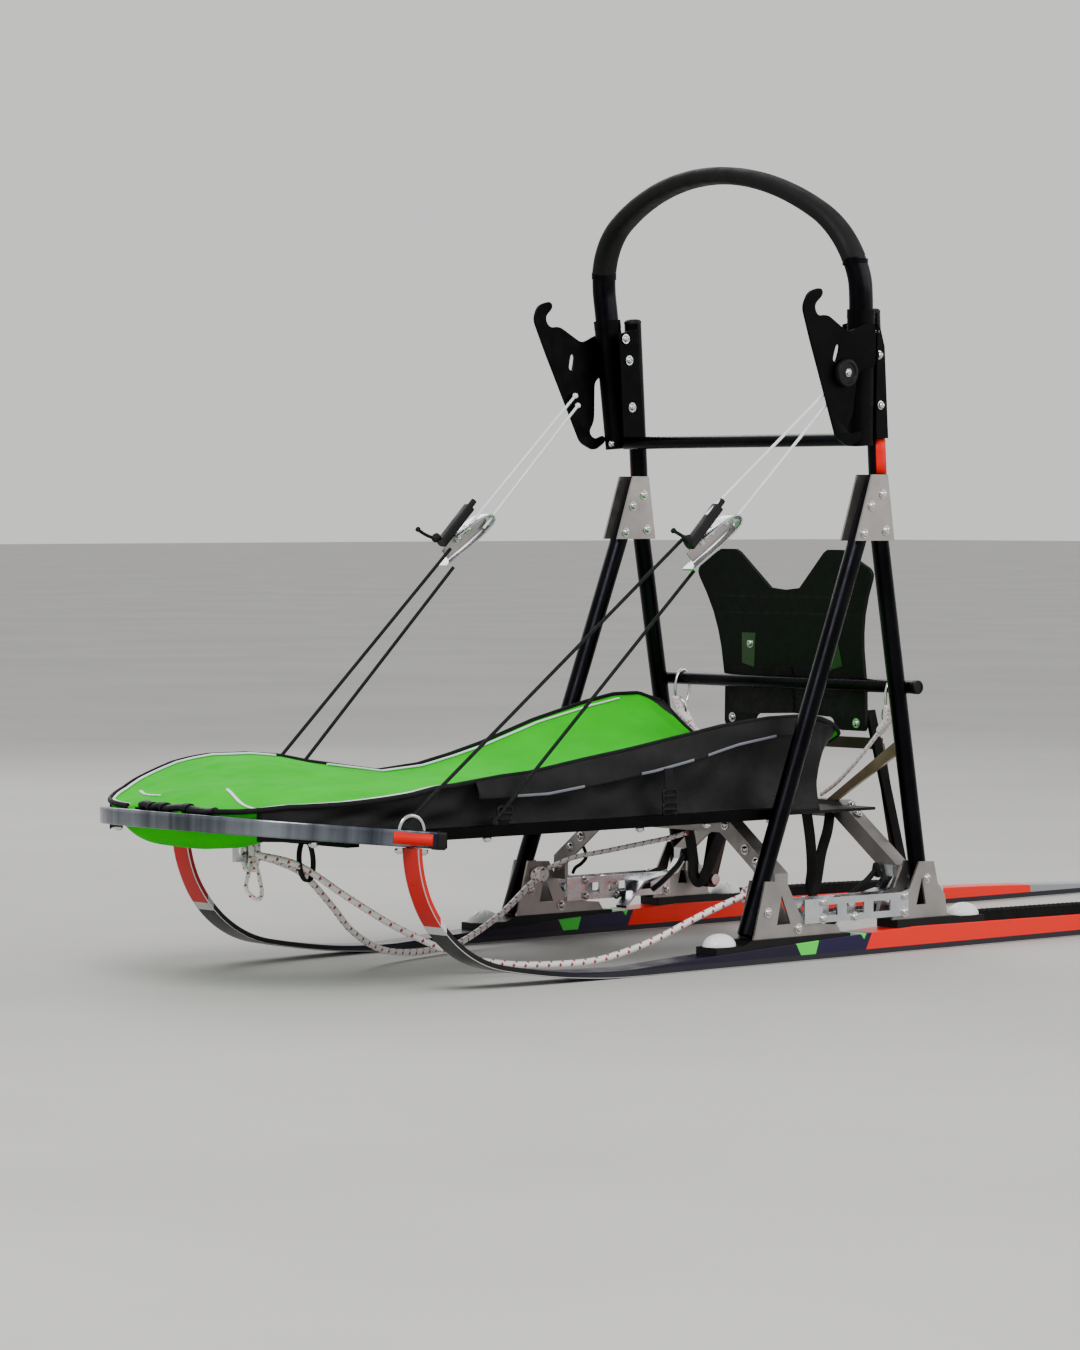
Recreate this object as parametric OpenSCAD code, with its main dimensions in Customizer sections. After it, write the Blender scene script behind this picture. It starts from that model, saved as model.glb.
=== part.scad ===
// Dog sled: two ski runners on braced side frames, a folding handle bow, a
// cloth cargo bag slung inside a front bow, a claw brake and a drag mat.
// Millimetres, +X forward, +Y to the left, +Z up, floor at Z = 0.
// Positions are measured from the middle of the feet, then the whole sled is
// moved so that the origin lies under the middle of its length.

/* [Overall] */
// distance between the two runner centre lines
track_w = 484; // [420:2:560]
// reach of the runner tails behind the middle of the feet
tail_reach = 1099; // [900:1:1350]
// reach of the bow nose ahead of the middle of the feet
nose_reach = 1011; // [930:1:1150]
// thickness of the parallel plates that clamp the tubes
plate_t = 3; // [2:0.5:5]

/* [Runners] */
// width of a runner
ski_w = 44; // [36:1:60]
// foremost point of the turned-up tip
tip_x = 778.7; // [740:0.1:800]
// thickness of the turned-up tip
tip_t = 8; // [6:0.5:9]
// station where the runner leaves the floor
rise_x = 400; // [380:5:420]
// station where the tip starts its tight bend
bend_x = 640; // [620:5:660]
// radius of the long gentle rise
rise_r = 1273; // [1100:1:1400]
// length of the rubber foot pads
pad_l = 340; // [280:10:380]
// pitch of the pad teeth
tooth_pitch = 10; // [8:1:14]
// thickness of the rubber below the teeth
pad_t = 9; // [6:1:12]
// height of the pad teeth
tooth_h = 5; // [3:0.5:6]

/* [Side frames] */
// outside diameter of legs and uprights
leg_d = 25; // [20:1:26]
// wall of the round tubes
leg_wall = 2; // [1.5:0.5:3]
// top of the uprights
upright_top_z = 884; // [820:1:900]
// width of the side ladder rails
ladder_h = 33; // [28:1:34]

/* [Handle] */
// height of the handle bow where the arch begins
arch_z = 917; // [880:1:950]
// half width of the handle bow at the arch
arch_half = 260; // [240:1:280]
// rise of the arch above its springing
arch_h = 170; // [150:1:190]
// radius of the arch shoulders
shoulder_r = 130; // [110:1:140]
// forward lean of the arch in degrees
arch_lean = 11; // [5:1:15]
// depth of the handle legs, front to back
grip_leg_x = 40; // [34:1:42]
// width of the handle legs, side to side
grip_leg_y = 26; // [22:1:28]
// depth of the bare bow tube, front to back
bow_tube_x = 34; // [30:1:36]
// width of the bare bow tube in the plane of the arch
bow_tube_y = 20; // [16:1:22]
// wall of the grip sleeve
sleeve_t = 2; // [1.5:0.5:3]
// diameter of the upper crossbar
upper_bar_d = 18; // [14:1:22]
// diameter of the lower crossbar
lower_bar_d = 19; // [15:1:22]

/* [Bed and bow] */
// station where the bow starts
bow_x = 740; // [725:1:750]
// half width of the bow
bow_half = 250; // [235:1:265]
// height of the bow band
bow_h = 22; // [18:1:26]
// thickness of the bow band
bow_t = 12; // [8:1:16]
// upward tilt of the bow in degrees
bow_tilt = 5.7; // [3:0.1:7]
// height of the underside of the bow at its ends
bow_z = 184; // [182:1:188]
// height of the bed rails
rail_h = 14; // [10:1:18]
// width of the bed rails
rail_w = 20; // [14:1:24]
// thickness of the bed plate
bed_t = 4; // [3:0.5:6]

/* [Brake and drag mat] */
// height of the drag mat above its hinge pins
mat_top = 486; // [440:1:500]
// thickness of the drag mat
mat_t = 6; // [4:1:8]
// diameter of the hinge pins
pin_d = 10; // [8:1:12]
// height of the hinge pins above the floor
pin_z = 70; // [66:1:74]
// running clearance between a hinge eye and its pin, on the diameter
eye_slack = 0.6; // [0.4:0.1:1]
// length of the brake claws
claw_l = 40; // [30:1:44]

/* [Bag and lines] */
// half width of the cargo bag
bag_half = 206; // [190:1:208]
// diameter of the tow rope
rope_d = 9; // [6:1:10]
// diameter of the stay lines
line_d = 5; // [4:0.5:6]

/* [Hidden] */
$fn = 64;

fit = 0.2;
side_y = track_w / 2;
frame_shift = (tail_reach - nose_reach) / 2;

// runner side profile: heights of the top face along the runner
ski_top_table = [
  [-tail_reach, 12], [-800, 24], [-480, 31], [-110, 35], [290, 17], [420, 10]
];
rise_angle = asin((bend_x - rise_x) / rise_r);
tip_r = (tip_x - bend_x) / (1 - sin(rise_angle));
tip_cx = bend_x - tip_r * sin(rise_angle);
tip_cz = rise_r - rise_r * cos(rise_angle) + tip_r * cos(rise_angle);
tip_top_z = bow_z + (tip_x - tip_t - bow_x) * tan(bow_tilt) - 1.5 * fit;
tip_end_angle = acos((tip_cz - tip_top_z) / tip_r);
pad_front_x = -262;
pad_rear_x = pad_front_x - pad_l;
pad_w = 36;
rise_steps = 6;
tip_steps = 24;

// feet: plate outlines in side view
front_foot_x = [189, 167, 127, 94, 30, 22];
front_foot_z = [34.3, 112, 110, 52, 46, 34.3];
front_window = [[136, 92], [145, 52], [119, 52]];
rear_foot_x = [-79, -90, -113, -133, -162, -170, -184, -190];
rear_foot_z = [45.3, 82, 87, 124, 123, 92, 76, 45.3];
rear_window = [[-138, 102], [-127, 64], [-146, 64]];
base_front_z = 34;
base_rear_z = 45;
base_w = 40;
cap_r = 20;
cap_h = 17;
cap_front_x = 238;
cap_rear_x = -238;
cap_front_z = 28;
cap_rear_z = 43;

// ladder rails
ladder_front_x = 95;
ladder_rear_x = -108;
ladder_z = 50.5;
ladder_windows = [[-72, 34], [-20, 34], [32, 34]];
ladder_window_h = 15;

// legs: slope of each leg as forward travel per millimetre of height
front_leg_slope = -0.398;
front_leg_ref = [148, 140];
front_leg_z = [39.2, 596];
rear_leg_slope = 0.168;
rear_leg_ref = [-141, 139];
rear_leg_z = [47.8, 604];
upright_low = [-66, 616];
upright_slope = 0.0597;
gusset_pts = [[-37, 662], [-68, 662], [-81, 571], [-6, 571]];

// handle legs stand in front of the uprights and lean outwards
leg_gap = 3.4;
leg_base_z = 712;
leg_base_y = side_y + 3;
leg_lean = atan(upright_slope);
leg_splay = atan((arch_half - leg_base_y) / (arch_z - leg_base_z));
leg_base_x = upright_x(leg_base_z) + leg_d / 2 + leg_gap + grip_leg_x / 2;
leg_len = (arch_z - leg_base_z) / cos(leg_lean) / cos(leg_splay);
leg_drop = 12;
grip_start = 10;
arch_x = leg_base_x + (arch_z - leg_base_z) * tan(leg_lean);
arch_c = arch_half - shoulder_r;
arch_rise = arch_h - sleeve_t;
crown_r = (arch_c * arch_c + arch_rise * arch_rise - shoulder_r * shoulder_r)
  / (2 * (arch_rise - shoulder_r));
crown_angle = atan2(crown_r - arch_rise, arch_c);
hook_t = 4;
hook_pts = [
  [94, 210], [118, 205], [129, 185], [113, 139], [80, 53], [61, 3], [36, -10],
  [12, 2], [15, 13], [33, 6], [44, 17], [31, 33], [23, 90], [10, 97],
  [-12, 97], [-12, 158], [11, 158], [41, 147], [82, 173], [101, 171],
  [108, 187], [90, 200]
];
slot_w = 6;
slot_l = 22;
slot_at = [64, 120];
knob_d = 36;
knob_t = 7;
knob_at = [48, 88];
upper_bar_z = 710;
lower_bar_z = 367;
lower_bar_over = 20;

// cross arches, half outlines as offsets across the sled and heights
arch_foot_y = side_y - leg_d / 2 - 2 * fit - plate_t;
arch_low_z = 85;
arch_knee_z = 118;
arch_band = 24;
arch_web_t = 3;
arch_flange_x = 25;
front_arch_x = 118;
front_crest = [126, 193];
rear_arch_x = -120;
rear_crest = [112, 203];
strut_x = -124;
strut_t = 6;
brace_pts = [[0, 40], [-36, 74], [-102, 86], [-115.8, 102], [-115.8, 118]];
brace_w = 22;
brace_t = 4;

// bed
rail_out_y = side_y - leg_d / 2 - 1.5 * fit;
rail_in_y = rail_out_y - rail_w;
rail_z = 193;
rail_rear_x = 106;
rail_front_x = bow_x - bow_h * sin(bow_tilt) - 2 * fit;
rail_block = 14;
bed_z = front_crest[1] + fit;
bed_narrow_y = 185;
bow_a = (nose_reach - bow_x) / cos(bow_tilt);
bow_power = 2.45;
bow_steps = 48;
tow_bar_x = 840;
tow_bar_w = 20;
tow_bar_t = 4;
tow_bar_z = bow_z + (tow_bar_x - bow_x) * tan(bow_tilt) - tow_bar_t - 1.5 * fit;
eye_x = 860;
eye_z = 174;
eye_d = 12;

// brake and drag mat, both turning on the same pins
pin_x = -165;
pin_in_y = 188;
pin_head_t = 3;
eye_outer_d = 24;
mat_x = -147.5;
mat_pts = [
  [28, 430], [92, 486], [126, 486], [176, 456], [162, 424], [150, 394],
  [143, 350], [142, 290], [144, 232]
];
// height above the pins where the mat starts to lean forward, and how far it leans
mat_bend = 295;
mat_lean = 8;
mat_arm_y = [206, 138];
mat_arm_top = [-156, 330];
brake_arm_y = [194, 136];
brake_bar_z = 282;
brake_bar_x = -177;
arm_depth = 16;
arm_t = 6;
brake_bar_depth = 10;
brake_bar_h = 16;
claw_y = 60;
claw_d = 8;

// bag: seam and crest heights along the sled
bag_seam = [
  [1000, 231], [882, 240], [522, 274], [234, 310], [0, 324], [-50, 318],
  [-66, 286]
];
bag_crest = [
  [986, 240], [940, 268], [850, 298], [750, 284], [644, 272], [560, 284],
  [470, 304], [330, 334], [174, 356], [60, 348], [-30, 330], [-46, 324]
];
cover_lift = 0.3;
cover_inset = 6;
crown_share = 0.62;
sling_pts = [[866, 0], [882, -13], [925, -16], [975, -8], [996, 8]];
bag_z = bed_z + bed_t + 1.5 * fit;

// stays: upper end, lower end, and the two cuts where the block sits
stay_a = [[48, 258, 778], [790, 243, 216]];
stay_b = [[44, 257, 764], [618, 219.5, 212]];
// on the right side both lines end on the rail
stay_a_right = [[48, 258, 778], [693, 219.5, 212]];
stay_b_right = [[44, 257, 764], [640, 219.5, 212]];
cut_a_right = [0.309, 0.418];
cut_a = [0.285, 0.385];
cut_b = [0.300, 0.450];
anchor_d = 9;
clamp_w = 18;
housing_w = 28;
housing_t = 20;

// tow rope from the towing eye to the feet, left and right
bridle_left_pts = [
  [841, 3.3, 170], [840, 14, 168], [784, 26, 152], [714, 43, 106],
  [647, 64, 64], [565, 90, 26], [500, 112, 12], [430, 134, 9],
  [370, 152, 13], [302, 174, 33], [231, 196, 65], [170, 212, 88],
  [146, 220, 92], [141, 226, 92]
];
bridle_right_pts = [
  [841, -3.3, 170], [840, -14, 168], [784, -28, 156], [725, -42, 134],
  [665, -59, 90], [615, -75, 50], [548, -97, 20], [477, -118, 9],
  [420, -136, 8], [354, -157, 12], [252, -189, 43], [185, -208, 76],
  [146, -220, 92], [141, -226, 92]
];
rope_sides = 8;
rope_splits = 3;

function ski_top(x) = lookup(x, ski_top_table);
function front_leg_x(z) = front_leg_ref[0] + front_leg_slope * (z - front_leg_ref[1]);
function rear_leg_x(z) = rear_leg_ref[0] + rear_leg_slope * (z - rear_leg_ref[1]);
function upright_x(z) = upright_low[0] + upright_slope * (z - upright_low[1]);
function between(p, t) = p[0] + (p[1] - p[0]) * t;

// point of a bow-shaped outline, angle -90 (right end) to 90 (left end)
function bow_point(a, b, t) = [
  a * pow(max(cos(t), 0), 2 / bow_power),
  b * sign(t) * pow(abs(sin(t)), 2 / bow_power)
];

// point of a smooth curve through p1 and p2, with p0 and p3 beyond them
function smooth(p0, p1, p2, p3, t) =
  0.5 * (2 * p1 + (p2 - p0) * t + (2 * p0 - 5 * p1 + 4 * p2 - p3) * t * t
  + (3 * p1 - p0 - 3 * p2 + p3) * t * t * t);
function smooth_path(p, n) = [
  for (i = [0 : len(p) - 2], k = [0 : n - 1])
    smooth(p[max(i - 1, 0)], p[i], p[i + 1], p[min(i + 2, len(p) - 1)], k / n),
  p[len(p) - 1]
];

// moves the sled so its origin is under the middle of its length
module placed()
{
  translate([frame_shift, 0, 0]) children();
}

// side +1 is the left side as drawn, side -1 is its mirror image
module on_side(side)
{
  if (side > 0) children();
  else mirror([0, 1, 0]) children();
}

module both_sides()
{
  on_side(1) children();
  on_side(-1) children();
}

// flat plate standing along the sled, drawn in side view
module side_plate(y, t)
{
  translate([0, y + t, 0]) rotate([90, 0, 0]) linear_extrude(t) children();
}

// flat plate standing across the sled, drawn from the front
module cross_plate(x, t)
{
  translate([x, 0, 0]) rotate([90, 0, 90]) linear_extrude(t) children();
}

// pair of plates clamping the tubes of a side frame
module plate_pair()
{
  for (y = [leg_d / 2 + 1.5 * fit, -leg_d / 2 - 1.5 * fit - plate_t])
    side_plate(side_y + y, plate_t) children();
}

// round bar between two points
module rod(a, b, d)
{
  v = b - a;
  translate(a) rotate([0, acos(v[2] / norm(v)), atan2(v[1], v[0])])
    cylinder(d = d, h = norm(v));
}

// round tube between two points
module tube(a, b, d, wall)
{
  v = (b - a) / norm(b - a);
  difference() {
    rod(a, b, d);
    rod(a - v, b + v, d - 2 * wall);
  }
}

// rectangular bar between two points, wx deep and wy wide
module beam(a, b, wx, wy)
{
  v = b - a;
  translate(a) rotate([-asin(v[1] / norm(v)), atan2(v[0], v[2]), 0])
    translate([-wx / 2, -wy / 2, 0]) cube([wx, wy, norm(v)]);
}

// flat oval, long along its first axis unless narrower there
module oval(a, b)
{
  s = min(a, b);
  square([max(a - s, 0.001) + (a > b ? 0 : s), max(b - s, 0.001) + (b > a ? 0 : s)], center = true);
  for (k = [-1, 1]) translate([k * (a - s) / 2, k * (b - s) / 2]) circle(d = s);
}

module ski(side)
{
  rise_pts = [for (i = [0 : rise_steps]) let (t = rise_angle * i / rise_steps)
    [rise_x + rise_r * sin(t), rise_r - rise_r * cos(t)]];
  tip_pts = [for (i = [1 : tip_steps])
    let (t = rise_angle + (tip_end_angle - rise_angle) * i / tip_steps)
    [tip_cx + tip_r * sin(t), tip_cz - tip_r * cos(t)]];
  tip_in = [for (i = [tip_steps : -1 : 0])
    let (t = rise_angle + (tip_end_angle - rise_angle) * i / tip_steps)
    [tip_cx + (tip_r - tip_t) * sin(t), tip_cz - (tip_r - tip_t) * cos(t)]];
  rise_in = [for (i = [rise_steps - 1 : -1 : 1]) let (t = rise_angle * i / rise_steps)
    [rise_x + (rise_r - tip_t) * sin(t), rise_r - (rise_r - tip_t) * cos(t)]];
  top_pts = [for (i = [len(ski_top_table) - 1 : -1 : 0]) ski_top_table[i]];
  outline = concat([[-tail_reach, 0]], rise_pts, tip_pts, tip_in, rise_in, top_pts);
  on_side(side) color("darkslateblue")
    side_plate(side_y - ski_w / 2, ski_w) polygon(outline);
}

module foot_pads()
{
  count = floor(pad_l / tooth_pitch);
  teeth = [for (i = [0 : count - 1], k = [0, 0.25, 0.5, 0.75])
    let (x = pad_front_x - (i + k) * tooth_pitch)
    [x, ski_top(x) + pad_t + (k == 0.25 || k == 0.5 ? tooth_h : 0)]];
  under = [for (x = [pad_rear_x, -480, pad_front_x]) [x, ski_top(x) + fit / 2]];
  placed() color("dimgray") both_sides()
    side_plate(side_y - pad_w / 2, pad_w)
      polygon(concat(teeth, [[pad_rear_x, ski_top(pad_rear_x) + pad_t]], under));
}

module toe_bases()
{
  front = [[8, base_front_z], [8, ski_top(8) + fit / 2], [262, ski_top(262) + fit / 2],
    [262, cap_front_z], [212, cap_front_z], [196, base_front_z]];
  rear = [[-85, base_rear_z], [-85, ski_top(-85) + fit / 2], [-110, ski_top(-110) + fit / 2],
    [-261, ski_top(-261) + fit / 2], [-261, cap_rear_z], [-212, cap_rear_z], [-204, base_rear_z]];
  placed() color("black") both_sides() {
    side_plate(side_y - base_w / 2, base_w) polygon(front);
    side_plate(side_y - base_w / 2, base_w) polygon(rear);
  }
}

module toe_cap(x, z)
{
  r = (cap_r * cap_r + cap_h * cap_h) / (2 * cap_h);
  translate([x, side_y, z + fit]) intersection() {
    translate([0, 0, cap_h - r]) sphere(r);
    translate([-r, -r, 0]) cube([2 * r, 2 * r, 2 * r]);
  }
}

module toe_caps()
{
  placed() color("white") both_sides() {
    toe_cap(cap_front_x, cap_front_z);
    toe_cap(cap_rear_x, cap_rear_z);
  }
}

module front_feet()
{
  placed() color("gray") both_sides() plate_pair() difference() {
    polygon([for (i = [0 : len(front_foot_x) - 1]) [front_foot_x[i], front_foot_z[i]]]);
    polygon(front_window);
  }
}

module rear_feet()
{
  placed() color("gray") both_sides() plate_pair() difference() {
    polygon([for (i = [0 : len(rear_foot_x) - 1]) [rear_foot_x[i], rear_foot_z[i]]]);
    polygon(rear_window);
  }
}

module ladder_rail(side)
{
  out = leg_d / 2 + 2.5 * fit + plate_t;
  placed() on_side(side) color("silver")
    for (y = [out, -out - plate_t]) side_plate(side_y + y, plate_t) difference() {
      translate([ladder_rear_x, ladder_z])
        square([ladder_front_x - ladder_rear_x, ladder_h]);
      for (w = ladder_windows)
        translate([w[0], ladder_z + (ladder_h - ladder_window_h) / 2])
          square([w[1], ladder_window_h]);
    }
}

module front_leg(side)
{
  placed() on_side(side) color("black")
    tube([front_leg_x(front_leg_z[0]), side_y, front_leg_z[0]],
      [front_leg_x(front_leg_z[1]), side_y, front_leg_z[1]], leg_d, leg_wall);
}

module rear_leg(side)
{
  placed() on_side(side) color("black")
    tube([rear_leg_x(rear_leg_z[0]), side_y, rear_leg_z[0]],
      [rear_leg_x(rear_leg_z[1]), side_y, rear_leg_z[1]], leg_d, leg_wall);
}

module gussets()
{
  placed() color("gray") both_sides() plate_pair() polygon(gusset_pts);
}

module upright(side)
{
  placed() on_side(side) color("black")
    tube([upright_x(upright_low[1]), side_y, upright_low[1]],
      [upright_x(upright_top_z), side_y, upright_top_z], leg_d, leg_wall);
}

// frame of a handle leg: across its thickness y, along its length z
module at_leg()
{
  translate([leg_base_x, leg_base_y, leg_base_z]) rotate([-leg_splay, leg_lean, 0])
    children();
}

// arch of the handle as a swept section drawn width by depth; it starts
// above the springing by the angle start, and drop extends it below
module arch(start, drop)
{
  translate([arch_x, 0, arch_z]) rotate([0, arch_lean, 0]) {
    for (m = [0, 1]) mirror([0, m, 0]) {
      translate([0, arch_c, 0]) rotate([start, 0, 0]) rotate([90, 0, 90])
        rotate_extrude(angle = crown_angle - start) translate([shoulder_r, 0]) children();
      if (drop > 0)
        translate([0, arch_half, -drop]) rotate([0, 0, 90]) linear_extrude(drop)
          children();
    }
    translate([0, 0, arch_rise - crown_r]) rotate([crown_angle, 0, 0]) rotate([90, 0, 90])
      rotate_extrude(angle = 180 - 2 * crown_angle) translate([crown_r, 0]) children();
  }
}

module handle_bow()
{
  placed() color("black") {
    arch(0, leg_drop) oval(bow_tube_y, bow_tube_x);
    both_sides() at_leg() translate([0, 0, -leg_drop])
      linear_extrude(leg_len + leg_drop) oval(grip_leg_x, grip_leg_y);
  }
}

module handle_grip()
{
  placed() color("dimgray") arch(grip_start, 0) difference() {
    oval(bow_tube_y + 2 * sleeve_t + fit, bow_tube_x + 2 * sleeve_t + fit);
    oval(bow_tube_y + fit, bow_tube_x + fit);
  }
}

module handle_brackets()
{
  web_x = -grip_leg_x / 2 - fit - plate_t;
  placed() color("black") both_sides() {
    at_leg() translate([web_x, -12, -4]) cube([plate_t, 24, 160]);
    side_plate(side_y + leg_d / 2 + fit, plate_t) polygon([
      [upright_x(712) - 8, 712], [upright_x(712) + leg_d / 2 + 1.5, 712],
      [upright_x(864) + leg_d / 2 + 1.5, 864], [upright_x(864) - 1, 864],
      [upright_x(838) - 8, 838]
    ]);
  }
}

module hook_plate(side)
{
  placed() on_side(side) color("black") at_leg() {
    side_plate(grip_leg_y / 2 + fit, hook_t) difference() {
      polygon(hook_pts);
      translate(slot_at) rotate(18) oval(slot_w, slot_l);
    }
    translate([knob_at[0], grip_leg_y / 2 + fit + hook_t, knob_at[1]])
      rotate([-90, 0, 0]) cylinder(d = knob_d, h = knob_t);
  }
}

module upper_crossbar()
{
  half = leg_base_y + (upper_bar_z - leg_base_z - upper_bar_d / 2) * tan(leg_splay)
    - grip_leg_y / 2 / cos(leg_splay) - 1.5 * fit;
  x = leg_base_x + (upper_bar_z - leg_base_z) * tan(leg_lean);
  placed() color("black")
    tube([x, -half, upper_bar_z], [x, half, upper_bar_z], upper_bar_d, leg_wall);
}

module lower_crossbar()
{
  half = side_y + lower_bar_over;
  x = rear_leg_x(lower_bar_z) - (leg_d / 2 + lower_bar_d / 2 + fit) / cos(atan(rear_leg_slope));
  placed() color("black")
    tube([x, -half, lower_bar_z], [x, half, lower_bar_z], lower_bar_d, leg_wall);
}

// bent channel across the sled: a web in front and a flange along its top
module cross_arch(x, crest)
{
  slope = atan2(crest[1] - arch_knee_z, arch_foot_y - crest[0]);
  outer = [[arch_foot_y, arch_low_z], [arch_foot_y, arch_knee_z], crest];
  inner = [for (w = [arch_band, arch_web_t]) [
    [arch_foot_y - w, arch_low_z],
    [arch_foot_y - w, arch_knee_z - w * tan(45 - slope / 2)],
    [crest[0] - w * tan(slope / 2), crest[1] - w]
  ]];
  for (i = [0, 1])
    cross_plate(x - (i == 0 ? arch_web_t : arch_flange_x), i == 0 ? arch_web_t : arch_flange_x)
      polygon(concat(outer, [for (k = [2 : -1 : 0]) [-outer[k][0], outer[k][1]]],
        [for (k = [0 : 2]) [-inner[i][k][0], inner[i][k][1]]],
        [for (k = [2 : -1 : 0]) inner[i][k]]));
}

module front_arch()
{
  placed() color("darkgray") cross_arch(front_arch_x, front_crest);
}

module rear_arch()
{
  placed() color("darkgray") cross_arch(rear_arch_x, rear_crest);
}

module arch_struts()
{
  placed() color("tan") both_sides() cross_plate(strut_x, strut_t) polygon([
    [90, rear_crest[1] + fit], [110, rear_crest[1] + fit],
    [rail_out_y, 274], [rail_out_y, 294]
  ]);
}

module arch_braces()
{
  back = [for (i = [len(brace_pts) - 1 : -1 : 0])
    brace_pts[i] - [i > 2 ? brace_t : 1, i > 2 ? 0 : brace_t]];
  placed() color("silver") both_sides()
    side_plate(arch_foot_y - 3.2 - brace_w, brace_w) polygon(concat(brace_pts, back));
}

module bed_rail(side)
{
  placed() on_side(side) color("black") {
    translate([rail_rear_x, rail_in_y, rail_z])
      cube([rail_front_x - rail_rear_x, rail_w, rail_h]);
    translate([rail_front_x - rail_block, rail_in_y, bow_z])
      cube([rail_block, max(bow_half - rail_in_y, rail_w), bow_h]);
  }
}

module bed_plate()
{
  placed() color("black") translate([0, 0, bed_z]) linear_extrude(bed_t) polygon([
    [rear_arch_x + 1.5 * fit, -bed_narrow_y], [90, -bed_narrow_y],
    [rail_rear_x, fit - rail_in_y], [rail_front_x - 30, fit - rail_in_y],
    [rail_front_x - 30, rail_in_y - fit], [rail_rear_x, rail_in_y - fit],
    [90, bed_narrow_y], [rear_arch_x + 1.5 * fit, bed_narrow_y]
  ]);
}

module front_bow()
{
  outer = [for (i = [0 : bow_steps]) bow_point(bow_a, bow_half, 180 * i / bow_steps - 90)];
  inner = [for (i = [bow_steps : -1 : 0])
    bow_point(bow_a - bow_t, bow_half - bow_t, 180 * i / bow_steps - 90)];
  placed() color("black") translate([bow_x, 0, bow_z]) rotate([0, -bow_tilt, 0])
    linear_extrude(bow_h) polygon(concat(outer, inner));
}

module tow_crossbar()
{
  half = bow_point(bow_a, bow_half, 60)[1] - bow_t / 2;
  placed() color("black") translate([tow_bar_x, -half, tow_bar_z])
    cube([tow_bar_w, 2 * half, tow_bar_t]);
}

module tow_eye()
{
  placed() color("silver") side_plate(-3, 6) difference() {
    translate([eye_x - 30, eye_z - 14]) square([42, tow_bar_z - fit - eye_z + 14]);
    translate([eye_x, eye_z]) circle(d = eye_d);
  }
}

// plan outline of the bag, pulled in by inset
module bag_plan(inset, share)
{
  half = (bag_half - inset) * share;
  nose_b = (bow_half - bow_t - 1.5 - inset) * share;
  nose_a = bow_a * cos(bow_tilt) - bow_t - 5 - inset;
  nose = [for (i = [2 : bow_steps - 2])
    [bow_x, 0] + bow_point(nose_a, nose_b, 180 * i / bow_steps - 90)];
  polygon(concat([[-66 + inset, -half * 0.8], [-20 + inset, -half], [bow_x + 2, -half]],
    nose, [[bow_x + 2, half], [-20 + inset, half], [-66 + inset, half * 0.8]]));
}

module sled_bag()
{
  lower = [for (p = sling_pts) [p[0], bag_z + p[1]]];
  placed() color("black") intersection() {
    side_plate(-bow_half, 2 * bow_half)
      polygon(concat([[-66, bag_z]], lower, bag_seam));
    translate([0, 0, eye_z]) linear_extrude(bow_half) bag_plan(0, 1);
  }
}

// height of the bag's seam at station x
function seam_z(x) = lookup(-x, [for (p = bag_seam) [-p[0], p[1]]]);

module bag_cover()
{
  stations = [986, 882, 522, 234, 0, -46];
  under = [for (i = [len(stations) - 1 : -1 : 0])
    [stations[i], seam_z(stations[i]) + cover_lift]];
  edge = [for (p = bag_crest) let (s = seam_z(p[0])) [p[0], s + 2 + max(p[1] - s, 2) * 0.45]];
  crest = [for (p = bag_crest) [p[0], max(p[1], seam_z(p[0]) + 4)]];
  placed() color("lime") union() {
    intersection() {
      side_plate(-bow_half, 2 * bow_half) polygon(concat(under, edge));
      translate([0, 0, bag_z]) linear_extrude(bow_half) bag_plan(cover_inset, 1);
    }
    intersection() {
      side_plate(-bow_half, 2 * bow_half) polygon(concat(under, crest));
      translate([0, 0, bag_z]) linear_extrude(bow_half) bag_plan(cover_inset, crown_share);
    }
  }
}

// one stay line with a gap for its block
module stay_line(p, cut, low_z)
{
  u = (p[1] - p[0]) / norm(p[1] - p[0]);
  rod(p[0], between(p, cut[0]) - fit * u, line_d);
  rod(between(p, cut[1]) + fit * u, p[1], line_d);
  translate(p[0]) sphere(d = anchor_d);
  translate([p[1][0], p[1][1], low_z]) cylinder(d = anchor_d, h = p[1][2] - low_z + 2);
}

module stay(side)
{
  bow_top = bow_z + (stay_a[1][0] - bow_x) * tan(bow_tilt) + bow_h / cos(bow_tilt) + 3 * fit;
  rail_top = rail_z + rail_h + fit;
  placed() on_side(side) color("white") {
    stay_line(side > 0 ? stay_a : stay_a_right, side > 0 ? cut_a : cut_a_right,
      side > 0 ? bow_top : rail_top);
    stay_line(side > 0 ? stay_b : stay_b_right, cut_b, rail_top);
  }
}

module stay_block(upper, upper_cut, lower)
{
  beam(between(upper, upper_cut[0]), between(upper, upper_cut[1]), clamp_w, clamp_w);
  beam(between(lower, cut_b[0]), between(lower, cut_b[1]), housing_w, housing_t);
}

module stay_blocks()
{
  placed() color("silver") {
    stay_block(stay_a, cut_a, stay_b);
    on_side(-1) stay_block(stay_a_right, cut_a_right, stay_b_right);
  }
}

module hinge_pins()
{
  placed() color("silver") both_sides() {
    translate([pin_x, arch_foot_y, pin_z]) rotate([90, 0, 0])
      cylinder(d = pin_d, h = arch_foot_y - pin_in_y);
    translate([pin_x, pin_in_y, pin_z]) rotate([90, 0, 0])
      cylinder(d = pin_d + 6, h = pin_head_t);
  }
}

// swinging arm with an eye round the hinge pin
module hinge_arm(y, top)
{
  difference() {
    union() {
      translate([pin_x, y + arm_t / 2, pin_z]) rotate([90, 0, 0])
        cylinder(d = eye_outer_d, h = arm_t);
      beam([pin_x, y, pin_z], top, arm_depth, arm_t);
    }
    translate([pin_x, y + 20, pin_z]) rotate([90, 0, 0])
      cylinder(d = pin_d + eye_slack, h = 40);
  }
}

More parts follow.
